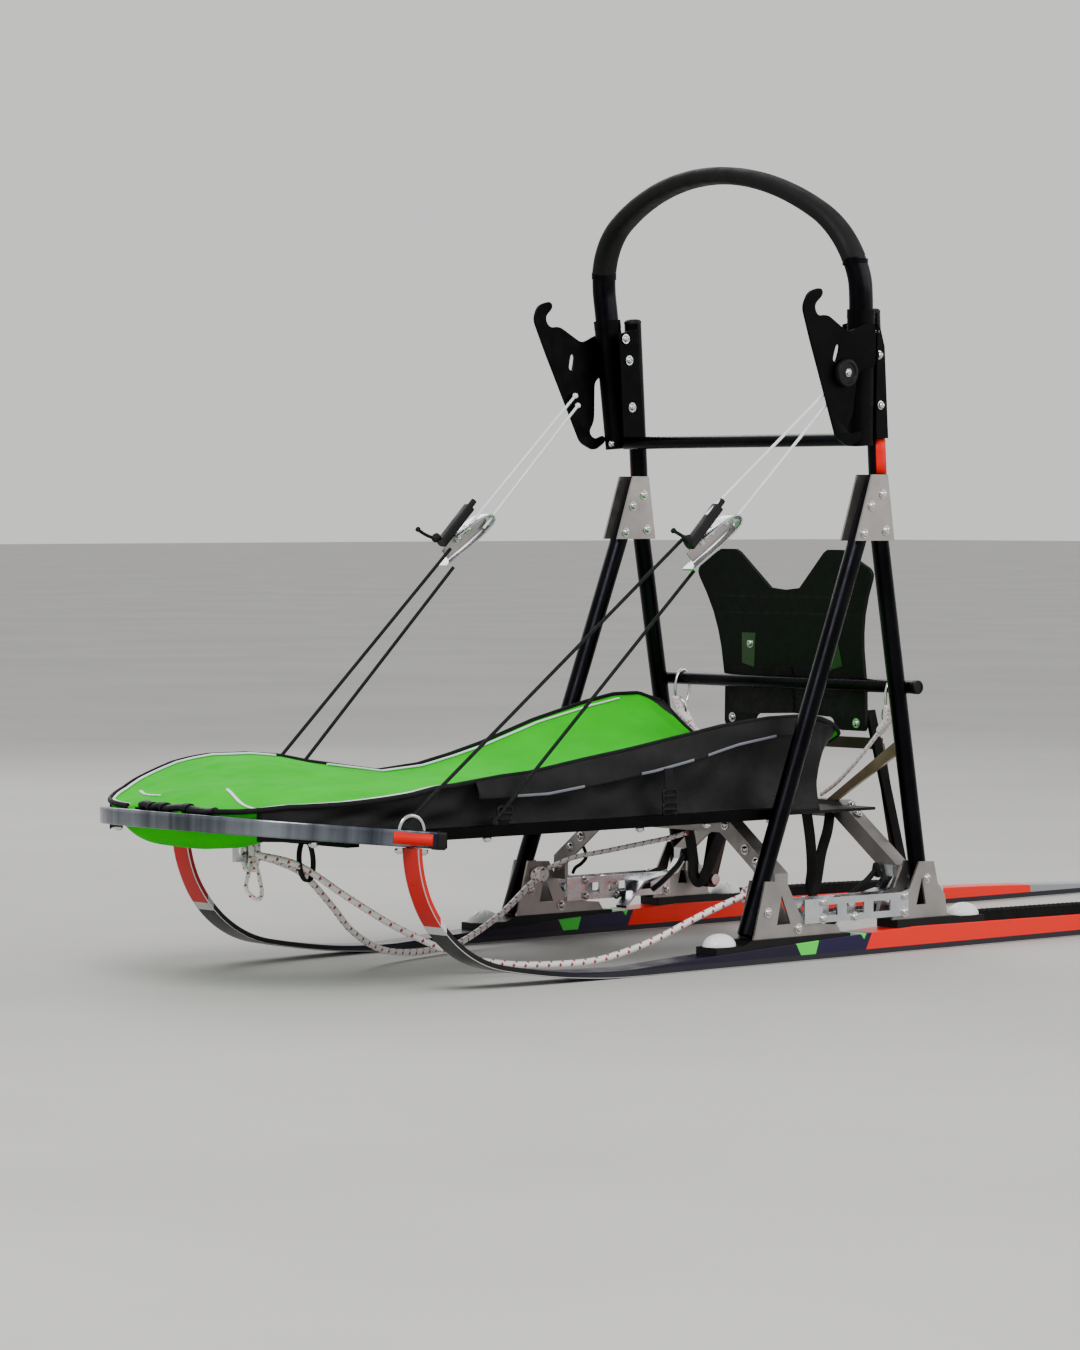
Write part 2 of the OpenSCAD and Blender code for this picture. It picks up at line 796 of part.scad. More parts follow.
module drag_arms()
{
  placed() color("black") both_sides()
    hinge_arm(mat_arm_y[0], [mat_arm_top[0], mat_arm_y[1], mat_arm_top[1]]);
}

module drag_mat()
{
  scale_z = mat_top / mat_pts[1][1];
  bend_z = pin_z + mat_bend;
  lean_x = (mat_top - mat_bend) * tan(mat_lean);
  placed() color("darkgreen") intersection() {
    cross_plate(mat_x - 1, lean_x + mat_t + 2) polygon(concat(
      [for (p = mat_pts) [p[0], pin_z + p[1] * scale_z]],
      [for (i = [len(mat_pts) - 1 : -1 : 0]) [-mat_pts[i][0], pin_z + mat_pts[i][1] * scale_z]]));
    side_plate(-200, 400) polygon([
      [mat_x, pin_z], [mat_x, bend_z], [mat_x + lean_x * 1.02, pin_z + mat_bend + (mat_top - mat_bend) * 1.02],
      [mat_x + lean_x * 1.02 + mat_t, pin_z + mat_bend + (mat_top - mat_bend) * 1.02],
      [mat_x + mat_t, bend_z], [mat_x + mat_t, pin_z]
    ]);
  }
}

module brake_frame()
{
  placed() color("tan") {
    both_sides() hinge_arm(brake_arm_y[0], [brake_bar_x, brake_arm_y[1], brake_bar_z]);
    translate([brake_bar_x - brake_bar_depth / 2, -brake_arm_y[1] - 3, brake_bar_z - 8])
      cube([brake_bar_depth, 2 * brake_arm_y[1] + 6, brake_bar_h]);
    for (s = [-1, 1]) translate([brake_bar_x - 4, s * claw_y, brake_bar_z])
      rotate([0, -90, 0]) cylinder(d1 = claw_d, d2 = 3, h = claw_l);
  }
}

// round rope along a path, with flat ends
module rope(path)
{
  n = len(path);
  dirs = [for (i = [0 : n - 1]) let (v = path[min(i + 1, n - 1)] - path[max(i - 1, 0)])
    i == 0 || i == n - 1 ? [0, sign(path[n - 1][1]), 0] : v / norm(v)];
  rings = [for (i = [0 : n - 1]) let (
    s = cross(dirs[i], [0, 0, 1]), a = s / norm(s), b = cross(dirs[i], a))
    for (k = [0 : rope_sides - 1]) let (t = 360 * k / rope_sides)
      path[i] + rope_d / 2 * (a * cos(t) + b * sin(t))];
  walls = [for (i = [0 : n - 2], k = [0 : rope_sides - 1]) let (j = (k + 1) % rope_sides)
    [i * rope_sides + k, i * rope_sides + j, (i + 1) * rope_sides + j, (i + 1) * rope_sides + k]];
  ends = [[for (k = [rope_sides - 1 : -1 : 0]) k],
    [for (k = [0 : rope_sides - 1]) (n - 1) * rope_sides + k]];
  polyhedron(points = rings, faces = concat(walls, ends), convexity = 8);
}

module bridle_left()
{
  placed() color("white") rope(smooth_path(bridle_left_pts, rope_splits));
}

module bridle_right()
{
  placed() color("white") rope(smooth_path(bridle_right_pts, rope_splits));
}

module ski_left() { placed() ski(1); }
module ski_right() { placed() ski(-1); }
module ladder_rail_left() { ladder_rail(1); }
module ladder_rail_right() { ladder_rail(-1); }
module front_leg_left() { front_leg(1); }
module front_leg_right() { front_leg(-1); }
module rear_leg_left() { rear_leg(1); }
module rear_leg_right() { rear_leg(-1); }
module upright_left() { upright(1); }
module upright_right() { upright(-1); }
module hook_plate_left() { hook_plate(1); }
module hook_plate_right() { hook_plate(-1); }
module bed_rail_left() { bed_rail(1); }
module bed_rail_right() { bed_rail(-1); }
module stay_left() { stay(1); }
module stay_right() { stay(-1); }

ski_left();
ski_right();
foot_pads();
toe_bases();
toe_caps();
front_feet();
rear_feet();
ladder_rail_left();
ladder_rail_right();
front_leg_left();
front_leg_right();
rear_leg_left();
rear_leg_right();
gussets();
upright_left();
upright_right();
handle_bow();
handle_grip();
handle_brackets();
hook_plate_left();
hook_plate_right();
upper_crossbar();
lower_crossbar();
front_arch();
rear_arch();
arch_struts();
arch_braces();
bed_rail_left();
bed_rail_right();
bed_plate();
front_bow();
tow_crossbar();
tow_eye();
sled_bag();
bag_cover();
stay_left();
stay_right();
stay_blocks();
hinge_pins();
drag_arms();
drag_mat();
brake_frame();
bridle_left();
bridle_right();
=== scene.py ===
"""Looks of a racing dog sled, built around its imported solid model.

Sizes are in millimetres in the maker's frame: +X forward, +Y left, +Z up, with X = 0 midway
between the front and rear feet. metres() carries them into the model's frame.
"""

import logging
import math
from dataclasses import dataclass, field
from enum import Enum

import bmesh
import bpy
import numpy as np
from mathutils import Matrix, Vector
from mathutils.geometry import tessellate_polygon


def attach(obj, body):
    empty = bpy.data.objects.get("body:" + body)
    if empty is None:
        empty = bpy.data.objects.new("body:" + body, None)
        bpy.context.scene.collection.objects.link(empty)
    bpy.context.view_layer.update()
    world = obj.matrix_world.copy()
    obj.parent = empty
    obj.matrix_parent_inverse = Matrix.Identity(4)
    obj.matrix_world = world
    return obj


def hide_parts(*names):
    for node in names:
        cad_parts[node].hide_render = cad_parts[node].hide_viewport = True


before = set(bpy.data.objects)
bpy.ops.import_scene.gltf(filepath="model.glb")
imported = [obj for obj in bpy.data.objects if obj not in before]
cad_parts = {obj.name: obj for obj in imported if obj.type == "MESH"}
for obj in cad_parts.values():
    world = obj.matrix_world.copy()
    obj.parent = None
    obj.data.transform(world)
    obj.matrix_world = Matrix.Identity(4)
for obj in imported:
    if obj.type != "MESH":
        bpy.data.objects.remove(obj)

LOG = logging.getLogger("dog_sled")
SHIFT_MM = 44.0  # the model's origin lies this far behind the middle of the feet
TRACK_HALF = 242.0
TUBE_HALF = 12.5
UPRIGHT_SLOPE = 0.0597
SIDES = (1, -1)
WORDS = ((1, "left"), (-1, "right"))
Point = tuple[float, float, float]


class Weave(Enum):
    """How the threads of a cloth are laid."""

    PLAIN = "plain"
    RIBBED = "ribbed"


class Lay(Enum):
    """Direction in which a metal was worked, and so the way its fine lines run."""

    NONE = (1.0, 1.0, 1.0)
    ALONG_X = (0.06, 1.0, 1.0)
    ALONG_Z = (1.0, 1.0, 0.06)


def metres(points: np.ndarray) -> np.ndarray:
    """Carries millimetres of the maker's frame into metres of the model's frame.

    Args:
        points: array whose last axis is x, y, z.

    Returns:
        The same array, moved and scaled.
    """
    return (np.asarray(points, float) + (SHIFT_MM, 0.0, 0.0)) / 1000.0


def linear(code: str) -> tuple[float, ...]:
    """Turns an sRGB hex colour into linear red, green, blue and full alpha.

    Args:
        code: colour such as "#2b2f33".

    Returns:
        Four linear values.
    """
    srgb = np.array([int(code[i : i + 2], 16) for i in (1, 3, 5)]) / 255.0
    value = np.where(srgb <= 0.04045, srgb / 12.92, ((srgb + 0.055) / 1.055) ** 2.4)
    return (*(float(v) for v in value), 1.0)


def add(
    tree: bpy.types.NodeTree, kind: str, inputs: dict | None = None, **settings: object
) -> bpy.types.Node:
    """Adds one shader node with its settings, values and links.

    Args:
        tree: node tree to add to.
        kind: node type without its "ShaderNode" prefix.
        inputs: socket name or index to a value, or to the output socket to link from.
        settings: properties of the node itself.

    Returns:
        The new node.
    """
    node = tree.nodes.new("ShaderNode" + kind)
    for key, value in settings.items():
        setattr(node, key, value)
    for socket, value in (inputs or {}).items():
        if isinstance(value, bpy.types.NodeSocket):
            tree.links.new(value, node.inputs[socket])
        else:
            node.inputs[socket].default_value = value
    return node


@dataclass(frozen=True)
class Finish:
    """A surface finish with two close tones, uneven gloss and a fine relief.

    The tones mix in soft clouds spread_mm across; the relief is a grain grain_mm across.
    """

    name: str
    colour: str
    shade: str
    roughness: float
    gloss_spread: float = 0.08
    spread_mm: float = 60.0
    grain_mm: float = 2.0
    relief_mm: float = 0.05
    metallic: float = 0.0
    coat: float = 0.0
    sheen: float = 0.0
    shine: float = 0.5

    def where(self, tree: bpy.types.NodeTree) -> bpy.types.NodeSocket:
        """Returns the coordinates that the pattern is laid in: the piece's own, in metres."""
        return add(tree, "TexCoord").outputs["Object"]

    def clouds(self, tree: bpy.types.NodeTree, size_mm: float) -> bpy.types.NodeSocket:
        """Returns a soft noise whose patches are size_mm across."""
        inputs = {"Vector": self.where(tree), "Scale": 1000.0 / size_mm, "Detail": 3.0}
        return add(tree, "TexNoise", inputs).outputs[0]

    def tint(self, tree: bpy.types.NodeTree) -> bpy.types.NodeSocket:
        """Returns the colour: the two tones mixed by soft clouds."""
        ramp = add(tree, "MapRange", {0: self.clouds(tree, self.spread_mm), 1: 0.35, 2: 0.65})
        colours = {0: ramp.outputs[0], 6: linear(self.colour), 7: linear(self.shade)}
        return add(tree, "Mix", colours, data_type="RGBA").outputs[2]

    def height(self, tree: bpy.types.NodeTree) -> bpy.types.NodeSocket:
        """Returns the relief's height from 0 to 1."""
        return self.clouds(tree, self.grain_mm)

    def build(self) -> bpy.types.Material:
        """Makes the material once and returns it."""
        known = bpy.data.materials.get(self.name)
        if known:
            return known
        material = bpy.data.materials.new(self.name)
        material.use_nodes = True
        tree = material.node_tree
        shader = tree.nodes["Principled BSDF"]
        shader.inputs["Metallic"].default_value = self.metallic
        shader.inputs["Coat Weight"].default_value = self.coat
        shader.inputs["Coat Roughness"].default_value = 0.15
        shader.inputs["Sheen Weight"].default_value = self.sheen
        shader.inputs["Specular IOR Level"].default_value = self.shine
        shader.inputs["Sheen Roughness"].default_value = 0.4
        tree.links.new(self.tint(tree), shader.inputs["Base Color"])
        low, high = self.roughness - self.gloss_spread, self.roughness + self.gloss_spread
        gloss = add(
            tree,
            "MapRange",
            {0: self.clouds(tree, self.spread_mm / 3), 1: 0.3, 2: 0.7, 3: low, 4: high},
        )
        tree.links.new(gloss.outputs[0], shader.inputs["Roughness"])
        relief = {"Height": self.height(tree), "Distance": self.relief_mm / 1000.0, "Strength": 0.6}
        tree.links.new(add(tree, "Bump", relief).outputs[0], shader.inputs["Normal"])
        return material


@dataclass(frozen=True)
class WorkedMetal(Finish):
    """Metal with fine lines from rolling, drawing or brushing, laid along one axis."""

    lay: Lay = Lay.NONE

    def height(self, tree: bpy.types.NodeTree) -> bpy.types.NodeSocket:
        """Returns a grain drawn out along the lay."""
        stretch = add(tree, "Mapping", {"Vector": self.where(tree), "Scale": self.lay.value})
        inputs = {"Vector": stretch.outputs[0], "Scale": 1000.0 / self.grain_mm, "Detail": 2.0}
        return add(tree, "TexNoise", inputs).outputs[0]


@dataclass(frozen=True)
class PaintedReflectionBand(WorkedMetal):
    """Polished band bent in short steps: flat facets across it, each with its own painted reflection, bars of
    a light and a dark tone in its colour that stand in for what it mirrors.
    """

    facet_mm: float = 13.0
    reflection_patch_mm: float = 110.0

    def along(self, tree: bpy.types.NodeTree, size_mm: float) -> bpy.types.NodeSocket:
        """Returns the run along the band, in steps of size_mm."""
        parts = add(tree, "SeparateXYZ", {0: add(tree, "TexCoord").outputs["UV"]})
        share = {0: parts.outputs[0], 1: 1000.0 / size_mm}
        return add(tree, "Math", share, operation="MULTIPLY").outputs[0]

    def tint(self, tree: bpy.types.NodeTree) -> bpy.types.NodeSocket:
        """Returns painted reflections: the two tones in bars across the band, a broad noise with a finer one
        over it.
        """
        broad, fine = (
            add(tree, "TexNoise", {"W": self.along(tree, size), "Scale": 1.0}, noise_dimensions="1D")
            for size in (self.reflection_patch_mm, self.facet_mm)
        )
        share = {0: fine.outputs[0], 1: 0.24, 2: -0.12}
        part = add(tree, "Math", share, operation="MULTIPLY_ADD").outputs[0]
        both = add(tree, "Math", {0: broad.outputs[0], 1: part}, operation="ADD").outputs[0]
        ramp = add(tree, "MapRange", {0: both, 1: 0.3, 2: 0.72}).outputs[0]
        # The light and dark bars are painted reflections, standing in for what the polished band mirrors.
        colours = {0: ramp, 6: linear(self.colour), 7: linear(self.shade)}
        return add(tree, "Mix", colours, data_type="RGBA").outputs[2]

    def height(self, tree: bpy.types.NodeTree) -> bpy.types.NodeSocket:
        """Returns shallow waves with a crease at every facet."""
        inputs = {0: self.along(tree, self.facet_mm), 1: 1.0}
        return add(tree, "Math", inputs, operation="PINGPONG").outputs[0]


@dataclass(frozen=True)
class Cloth(Finish):
    """Woven cloth whose threads follow the piece's own surface, drawn thread_mm apart."""

    thread_mm: float = 1.6
    weave: Weave = Weave.PLAIN

    def height(self, tree: bpy.types.NodeTree) -> bpy.types.NodeSocket:
        """Returns crossing threads: the higher of two sets of waves over a soft unevenness."""
        where = add(tree, "TexCoord").outputs["UV"]
        scale = 1000.0 / self.thread_mm * math.pi / 10.0
        waves = [
            add(
                tree,
                "TexWave",
                {"Vector": where, "Scale": scale, "Distortion": 0.4, "Detail": 1.0},
                bands_direction=direction,
            ).outputs[0]
            for direction in (("X", "Y") if self.weave is Weave.PLAIN else ("X", "X"))
        ]
        threads = add(tree, "Math", {0: waves[0], 1: waves[1]}, operation="MAXIMUM").outputs[0]
        crease = add(tree, "Math", {0: self.clouds(tree, 30.0), 1: 1.5}, operation="MULTIPLY")
        return add(tree, "Math", {0: threads, 1: crease.outputs[0]}, operation="ADD").outputs[0]


@dataclass(frozen=True)
class Braid(Finish):
    """Braided rope: slanting strands, with flecks of a tracer colour at a steady pitch."""

    tracer: str = "#a8343a"
    pitch_mm: float = 17.0
    girth_mm: float = 28.0

    def turns(self, tree: bpy.types.NodeTree, pitch_mm: float, starts: float) -> bpy.types.NodeSocket:
        """Returns how far round each strand a point lies: along / pitch + starts * around / girth."""
        parts = add(tree, "SeparateXYZ", {0: add(tree, "TexCoord").outputs["UV"]})
        along = add(tree, "Math", {0: parts.outputs[0], 1: 1000.0 / pitch_mm}, operation="MULTIPLY")
        share = {0: parts.outputs[1], 1: 1000.0 * starts / self.girth_mm}
        around = add(tree, "Math", share, operation="MULTIPLY")
        both = add(tree, "Math", {0: along.outputs[0], 1: around.outputs[0]}, operation="ADD")
        return add(tree, "Math", {0: both.outputs[0]}, operation="FRACT").outputs[0]

    def tint(self, tree: bpy.types.NodeTree) -> bpy.types.NodeSocket:
        """Returns the plain tones with the tracer where two slanting bands cross."""
        one = add(tree, "Math", {0: self.turns(tree, self.pitch_mm, 1.0), 1: 0.27}, operation="LESS_THAN")
        two = add(
            tree, "Math", {0: self.turns(tree, self.pitch_mm / 2, -2.0), 1: 0.55}, operation="LESS_THAN"
        )
        fleck = add(tree, "Math", {0: one.outputs[0], 1: two.outputs[0]}, operation="MULTIPLY")
        inputs = {0: fleck.outputs[0], 6: super().tint(tree), 7: linear(self.tracer)}
        return add(tree, "Mix", inputs, data_type="RGBA").outputs[2]

    def height(self, tree: bpy.types.NodeTree) -> bpy.types.NodeSocket:
        """Returns the strands: two slanting sets of ridges, the higher of the two."""
        ridges = [
            add(tree, "Math", {0: self.turns(tree, 6.0, starts)}, operation="PINGPONG")
            for starts in (4.0, -4.0)
        ]
        for ridge in ridges:
            ridge.inputs[1].default_value = 0.5
        inputs = {0: ridges[0].outputs[0], 1: ridges[1].outputs[0]}
        return add(tree, "Math", inputs, operation="MAXIMUM").outputs[0]


@dataclass(frozen=True)
class Zone:
    """One colour of a runner's top sheet: from x_mm backwards, on a line that leans by slope."""

    x_mm: float
    colour: str
    slope: float = 0.0


@dataclass(frozen=True)
class Laminate(Finish):
    """Glossy printed runner: colour fields one behind the other, over a dark band along the bottom that is
    partly the runner's dark base and partly painted shadow below its raised middle.
    """

    zones: tuple[Zone, ...] = ()
    dark_base_and_shade_colour: str = "#23232a"
    dark_base_and_shade_mm: float = 9.0
    dark_base_and_shade_from_mm: float = 600.0

    def tint(self, tree: bpy.types.NodeTree) -> bpy.types.NodeSocket:
        """Returns the field whose front line a point lies behind, or the dark band low down: partly dark
        base, partly painted shadow.
        """
        parts = add(tree, "SeparateXYZ", {0: self.where(tree)})
        x, z = parts.outputs[0], parts.outputs[2]
        colour = super().tint(tree)
        for zone in self.zones:
            lean = {0: z, 1: zone.slope, 2: (zone.x_mm + SHIFT_MM) / 1000.0}
            line = add(tree, "Math", lean, operation="MULTIPLY_ADD").outputs[0]
            behind = add(tree, "Math", {0: x, 1: line}, operation="LESS_THAN").outputs[0]
            colour = add(
                tree, "Mix", {0: behind, 6: colour, 7: linear(zone.colour)}, data_type="RGBA"
            ).outputs[2]
        # Dark band along the bottom behind the rise: partly the runner's dark base, partly painted shadow
        # where its middle would lift off the floor.
        low = add(tree, "Math", {0: z, 1: self.dark_base_and_shade_mm / 1000.0}, operation="LESS_THAN").outputs[0]
        edge = (self.dark_base_and_shade_from_mm + SHIFT_MM) / 1000.0
        back = add(tree, "Math", {0: x, 1: edge}, operation="LESS_THAN").outputs[0]
        both = add(tree, "Math", {0: low, 1: back}, operation="MULTIPLY").outputs[0]
        inputs = {0: both, 6: colour, 7: linear(self.dark_base_and_shade_colour)}
        return add(tree, "Mix", inputs, data_type="RGBA").outputs[2]


# Black anodised aluminium tube: dark, satin, with long soft highlights and faint drawing lines.
BLACK_TUBE = WorkedMetal(
    "black_anodised_tube", "#17171b", "#101013", 0.26,
    metallic=1.0, grain_mm=1.2, relief_mm=0.02, lay=Lay.ALONG_Z,
)
# Black anodised plate: the same coat on rolled sheet, a little duller.
BLACK_PLATE = WorkedMetal(
    "black_anodised_plate", "#101012", "#0a0a0b", 0.5, metallic=1.0, grain_mm=1.5, relief_mm=0.03
)
# Polished black band of the front bow: its colour is painted reflection, light and dark blue-grey bars over a
# black band.
BOW_PAINTED_REFLECTIONS = PaintedReflectionBand("black_band_painted_reflections", "#8a9099", "#2a303b", 0.2, metallic=1.0, relief_mm=0.12)
# Tumbled aluminium plate: warm grey, even, with a fine matt grain.
GREY_PLATE = WorkedMetal(
    "tumbled_aluminium_plate", "#a09b98", "#8d8886", 0.42, metallic=0.9, grain_mm=1.0, relief_mm=0.03
)
# Raw extruded aluminium: bright, with fine lines along its length.
BARE_METAL = WorkedMetal(
    "bare_extruded_aluminium", "#cfd1d4", "#b9bcc1", 0.26,
    metallic=1.0, grain_mm=1.2, relief_mm=0.03, lay=Lay.ALONG_X,
)
# Stainless steel fittings: bright and nearly mirror smooth.
STEEL = WorkedMetal(
    "stainless_steel", "#dcdcdc", "#c4c4c6", 0.18, metallic=1.0, grain_mm=2.0, relief_mm=0.01
)
# Clear-anodised plate turned a warm tan by the mill finish below.
TAN_PLATE = WorkedMetal(
    "tan_aluminium_strip", "#b3a284", "#96866a", 0.36,
    metallic=0.8, grain_mm=1.4, relief_mm=0.03, lay=Lay.ALONG_Z,
)
DARK_TAN = WorkedMetal(
    "brown_anodised_bar", "#4a3a33", "#3a2d28", 0.42, metallic=0.7, grain_mm=1.4, relief_mm=0.03
)
# Moulded nylon: black, faintly pebbled from the mould.
BLACK_NYLON = Finish(
    "moulded_black_nylon", "#070708", "#040405", 0.5, shine=0.22, grain_mm=0.9, relief_mm=0.04
)
WHITE_NYLON = Finish("moulded_white_nylon", "#eef1ef", "#dfe3e2", 0.38, grain_mm=0.9, relief_mm=0.03)
# Vulcanised rubber: matt black that dusts over grey on top; here just soft clouds of two near-black tones.
RUBBER = Finish("vulcanised_rubber", "#080808", "#0e0e0d", 0.8, shine=0.15, grain_mm=1.6, relief_mm=0.12)
MAT_RUBBER = Finish(
    "track_belt_rubber", "#020a04", "#040604", 0.62,
    shine=0.16, spread_mm=35.0, grain_mm=6.0, relief_mm=0.35,
)
# Closed-cell grip foam with a pressed pebble.
GRIP_FOAM = Finish("pressed_grip_foam", "#080809", "#040405", 0.6, grain_mm=6.0, relief_mm=0.6, shine=0.22)
STICKER_RED = Finish("red_vinyl_film", "#e40200", "#d40100", 0.40, grain_mm=3.0, relief_mm=0.01, shine=0.2)
# Coated nylon cloth of the bag: fluorescent green top, black sides.
GREEN_CLOTH = Cloth(
    "green_coated_nylon", "#06c404", "#05b603", 0.8,
    spread_mm=90.0, relief_mm=0.35, shine=0.1, thread_mm=1.8,
)
BLACK_CLOTH = Cloth(
    "black_coated_nylon", "#040406", "#070709", 0.5,
    spread_mm=70.0, relief_mm=0.5, shine=0.25, thread_mm=1.8,
)
WEBBING = Cloth(
    "black_webbing", "#060607", "#0a0a0c", 0.65, relief_mm=0.3, shine=0.2, thread_mm=3.0, weave=Weave.RIBBED
)
PIPING = Cloth("white_reflective_piping", "#e6eef0", "#d4dde2", 0.45, relief_mm=0.1, thread_mm=2.0)
GREY_TRIM = Cloth("grey_reflective_tape", "#6c7079", "#5b5f68", 0.40, relief_mm=0.1, thread_mm=2.0)
# Braided polyester ropes.
ROPE = Braid(
    "white_rope_red_tracer", "#fbf9f8", "#eeebea", 0.72, relief_mm=0.5, sheen=0.1, tracer="#a83c44"
)
THIN_ROPE = Braid(
    "thin_rope_pink_tracer", "#ecebea", "#dcd8d8", 0.72,
    relief_mm=0.3, tracer="#d894a4", pitch_mm=12.0, girth_mm=19.0,
)
WHITE_LINE = Braid(
    "white_dyneema_line", "#eef4f2", "#dfe8e6", 0.6, relief_mm=0.15, tracer="#e3ebe9", girth_mm=10.0
)
BLACK_CORD = Braid(
    "black_shock_cord", "#0b110f", "#080c0b", 0.7,
    shine=0.2, relief_mm=0.3, tracer="#161e1a", pitch_mm=9.0, girth_mm=16.0,
)
# Printed top sheet of the runners, fields from the tip backwards.
RUNNER = Laminate(
    "printed_runner_laminate",
    "#d00a02",
    "#c40a02",
    0.34,
    spread_mm=120.0,
    grain_mm=5.0,
    relief_mm=0.02,
    coat=0.1,
    shine=0.25,
    zones=(
        Zone(742.0, "#c9c9cb"),
        Zone(733.0, "#0c0c10"),
        Zone(540.0, "#120c26"),
        Zone(100.0, "#45e044", 0.57),
        Zone(80.0, "#160c3a", -0.35),
        Zone(-36.0, "#45e044", 0.82),
        Zone(-3.0, "#160c3a", -0.60),
        Zone(-16.5, "#f01400", -0.50),
        Zone(-890.0, "#8f9296", 0.2),
    ),
)


def table(rows: tuple[tuple[float, float], ...], x: np.ndarray) -> np.ndarray:
    """Looks a height up along the sled.

    Args:
        rows: (station, value) pairs in any order.
        x: stations wanted.

    Returns:
        Values at those stations, joined by straight lines.
    """
    pairs = np.array(sorted(rows))
    return np.interp(x, pairs[:, 0], pairs[:, 1])


def smooth_path(points: np.ndarray, splits: int) -> np.ndarray:
    """Runs a Catmull-Rom curve through points.

    The formula for a span from p1 to p2 with neighbours p0 and p3 is half of
    2 p1 + (p2 - p0) t + (2 p0 - 5 p1 + 4 p2 - p3) t^2 + (3 p1 - p0 - 3 p2 + p3) t^3.

    Args:
        points: (n, 3) points the curve passes through.
        splits: number of steps in each span.

    Returns:
        ((n - 1) * splits + 1, 3) points.
    """
    p = np.asarray(points, float)
    p0 = np.concatenate([p[:1], p[:-2]])[:, None]
    p1, p2 = p[:-1, None], p[1:, None]
    p3 = np.concatenate([p[2:], p[-1:]])[:, None]
    t = (np.arange(splits) / splits)[None, :, None]
    curve = 0.5 * (
        2 * p1 + (p2 - p0) * t + (2 * p0 - 5 * p1 + 4 * p2 - p3) * t**2 + (3 * p1 - p0 - 3 * p2 + p3) * t**3
    )
    return np.concatenate([curve.reshape(-1, p.shape[1]), p[-1:]])


def resample(points: np.ndarray, count: int) -> np.ndarray:
    """Spaces count points evenly along a line of points."""
    p = np.asarray(points, float)
    run = np.concatenate([[0.0], np.cumsum(np.linalg.norm(np.diff(p, axis=0), axis=1))])
    at = np.linspace(0.0, run[-1], count)
    return np.stack([np.interp(at, run, p[:, k]) for k in range(p.shape[1])], axis=1)


def section(half_u: float, half_v: float, count: int = 16, power: float = 2.0) -> np.ndarray:
    """Closed section |u / half_u|^power + |v / half_v|^power = 1; power 2 is an ellipse.

    Args:
        half_u: half the size across.
        half_v: half the size up.
        count: number of points.
        power: 2 for an oval, 4 or more for a rounded bar.

    Returns:
        (count, 2) points.
    """
    t = (np.arange(count) + 0.5) * 2 * np.pi / count
    c, s = np.cos(t), np.sin(t)
    u, v = (half * np.sign(w) * np.abs(w) ** (2 / power) for half, w in ((half_u, c), (half_v, s)))
    return np.stack([u, v], axis=1)


def carry(
    path: np.ndarray, profile: np.ndarray, up: Point = (0.0, 0.0, 1.0), loop: bool = False
) -> np.ndarray:
    """Carries a profile along a path without twist about the up direction.

    Each point is the path point + u * side + v * over, where side is up x tangent and over is
    tangent x side, both of unit length.

    Args:
        path: (n, 3) centre line.
        profile: (m, 2) section points (u, v).
        up: direction that the section's v axis leans towards.
        loop: True where the path's end joins its start.

    Returns:
        (n, m, 3) grid.
    """
    p = np.asarray(path, float)
    step = np.roll(p, -1, 0) - np.roll(p, 1, 0) if loop else np.gradient(p, axis=0)
    tangent = step / np.linalg.norm(step, axis=1, keepdims=True)
    side = np.cross(np.asarray(up, float), tangent)
    side /= np.linalg.norm(side, axis=1, keepdims=True)
    over = np.cross(tangent, side)
    return p[:, None] + profile[None, :, :1] * side[:, None] + profile[None, :, 1:] * over[:, None]


def rounded(outline: np.ndarray, radius: float, steps: int = 6) -> np.ndarray:
    """Rounds the corners of a closed outline.

    Each corner p becomes the curve (1 - t)^2 a + 2 t (1 - t) p + t^2 b, where a and b lie up to
    radius away from p along its two edges.

    Args:
        outline: (n, 2) corners.
        radius: how far along its edges a corner is cut.
        steps: points on each corner.

    Returns:
        (n * steps, 2) points.
    """
    p = np.asarray(outline, float)
    ends = []
    for other in (np.roll(p, 1, 0), np.roll(p, -1, 0)):
        edge = other - p
        length = np.linalg.norm(edge, axis=1, keepdims=True)
        ends.append(p + edge / length * np.minimum(radius, 0.48 * length))
    t = np.linspace(0, 1, steps)[None, :, None]
    curve = (1 - t) ** 2 * ends[0][:, None] + 2 * t * (1 - t) * p[:, None] + t**2 * ends[1][:, None]
    return curve.reshape(-1, 2)


def upright_x(z: float | np.ndarray) -> float | np.ndarray:
    """Returns where the middle of a leaning upright stands at height z."""
    return -66 + UPRIGHT_SLOPE * (z - 616)


def flip(points: np.ndarray, side: int) -> np.ndarray:
    """Mirrors points to the right side of the sled where side is -1."""
    return np.asarray(points, float) * (1.0, float(side), 1.0)


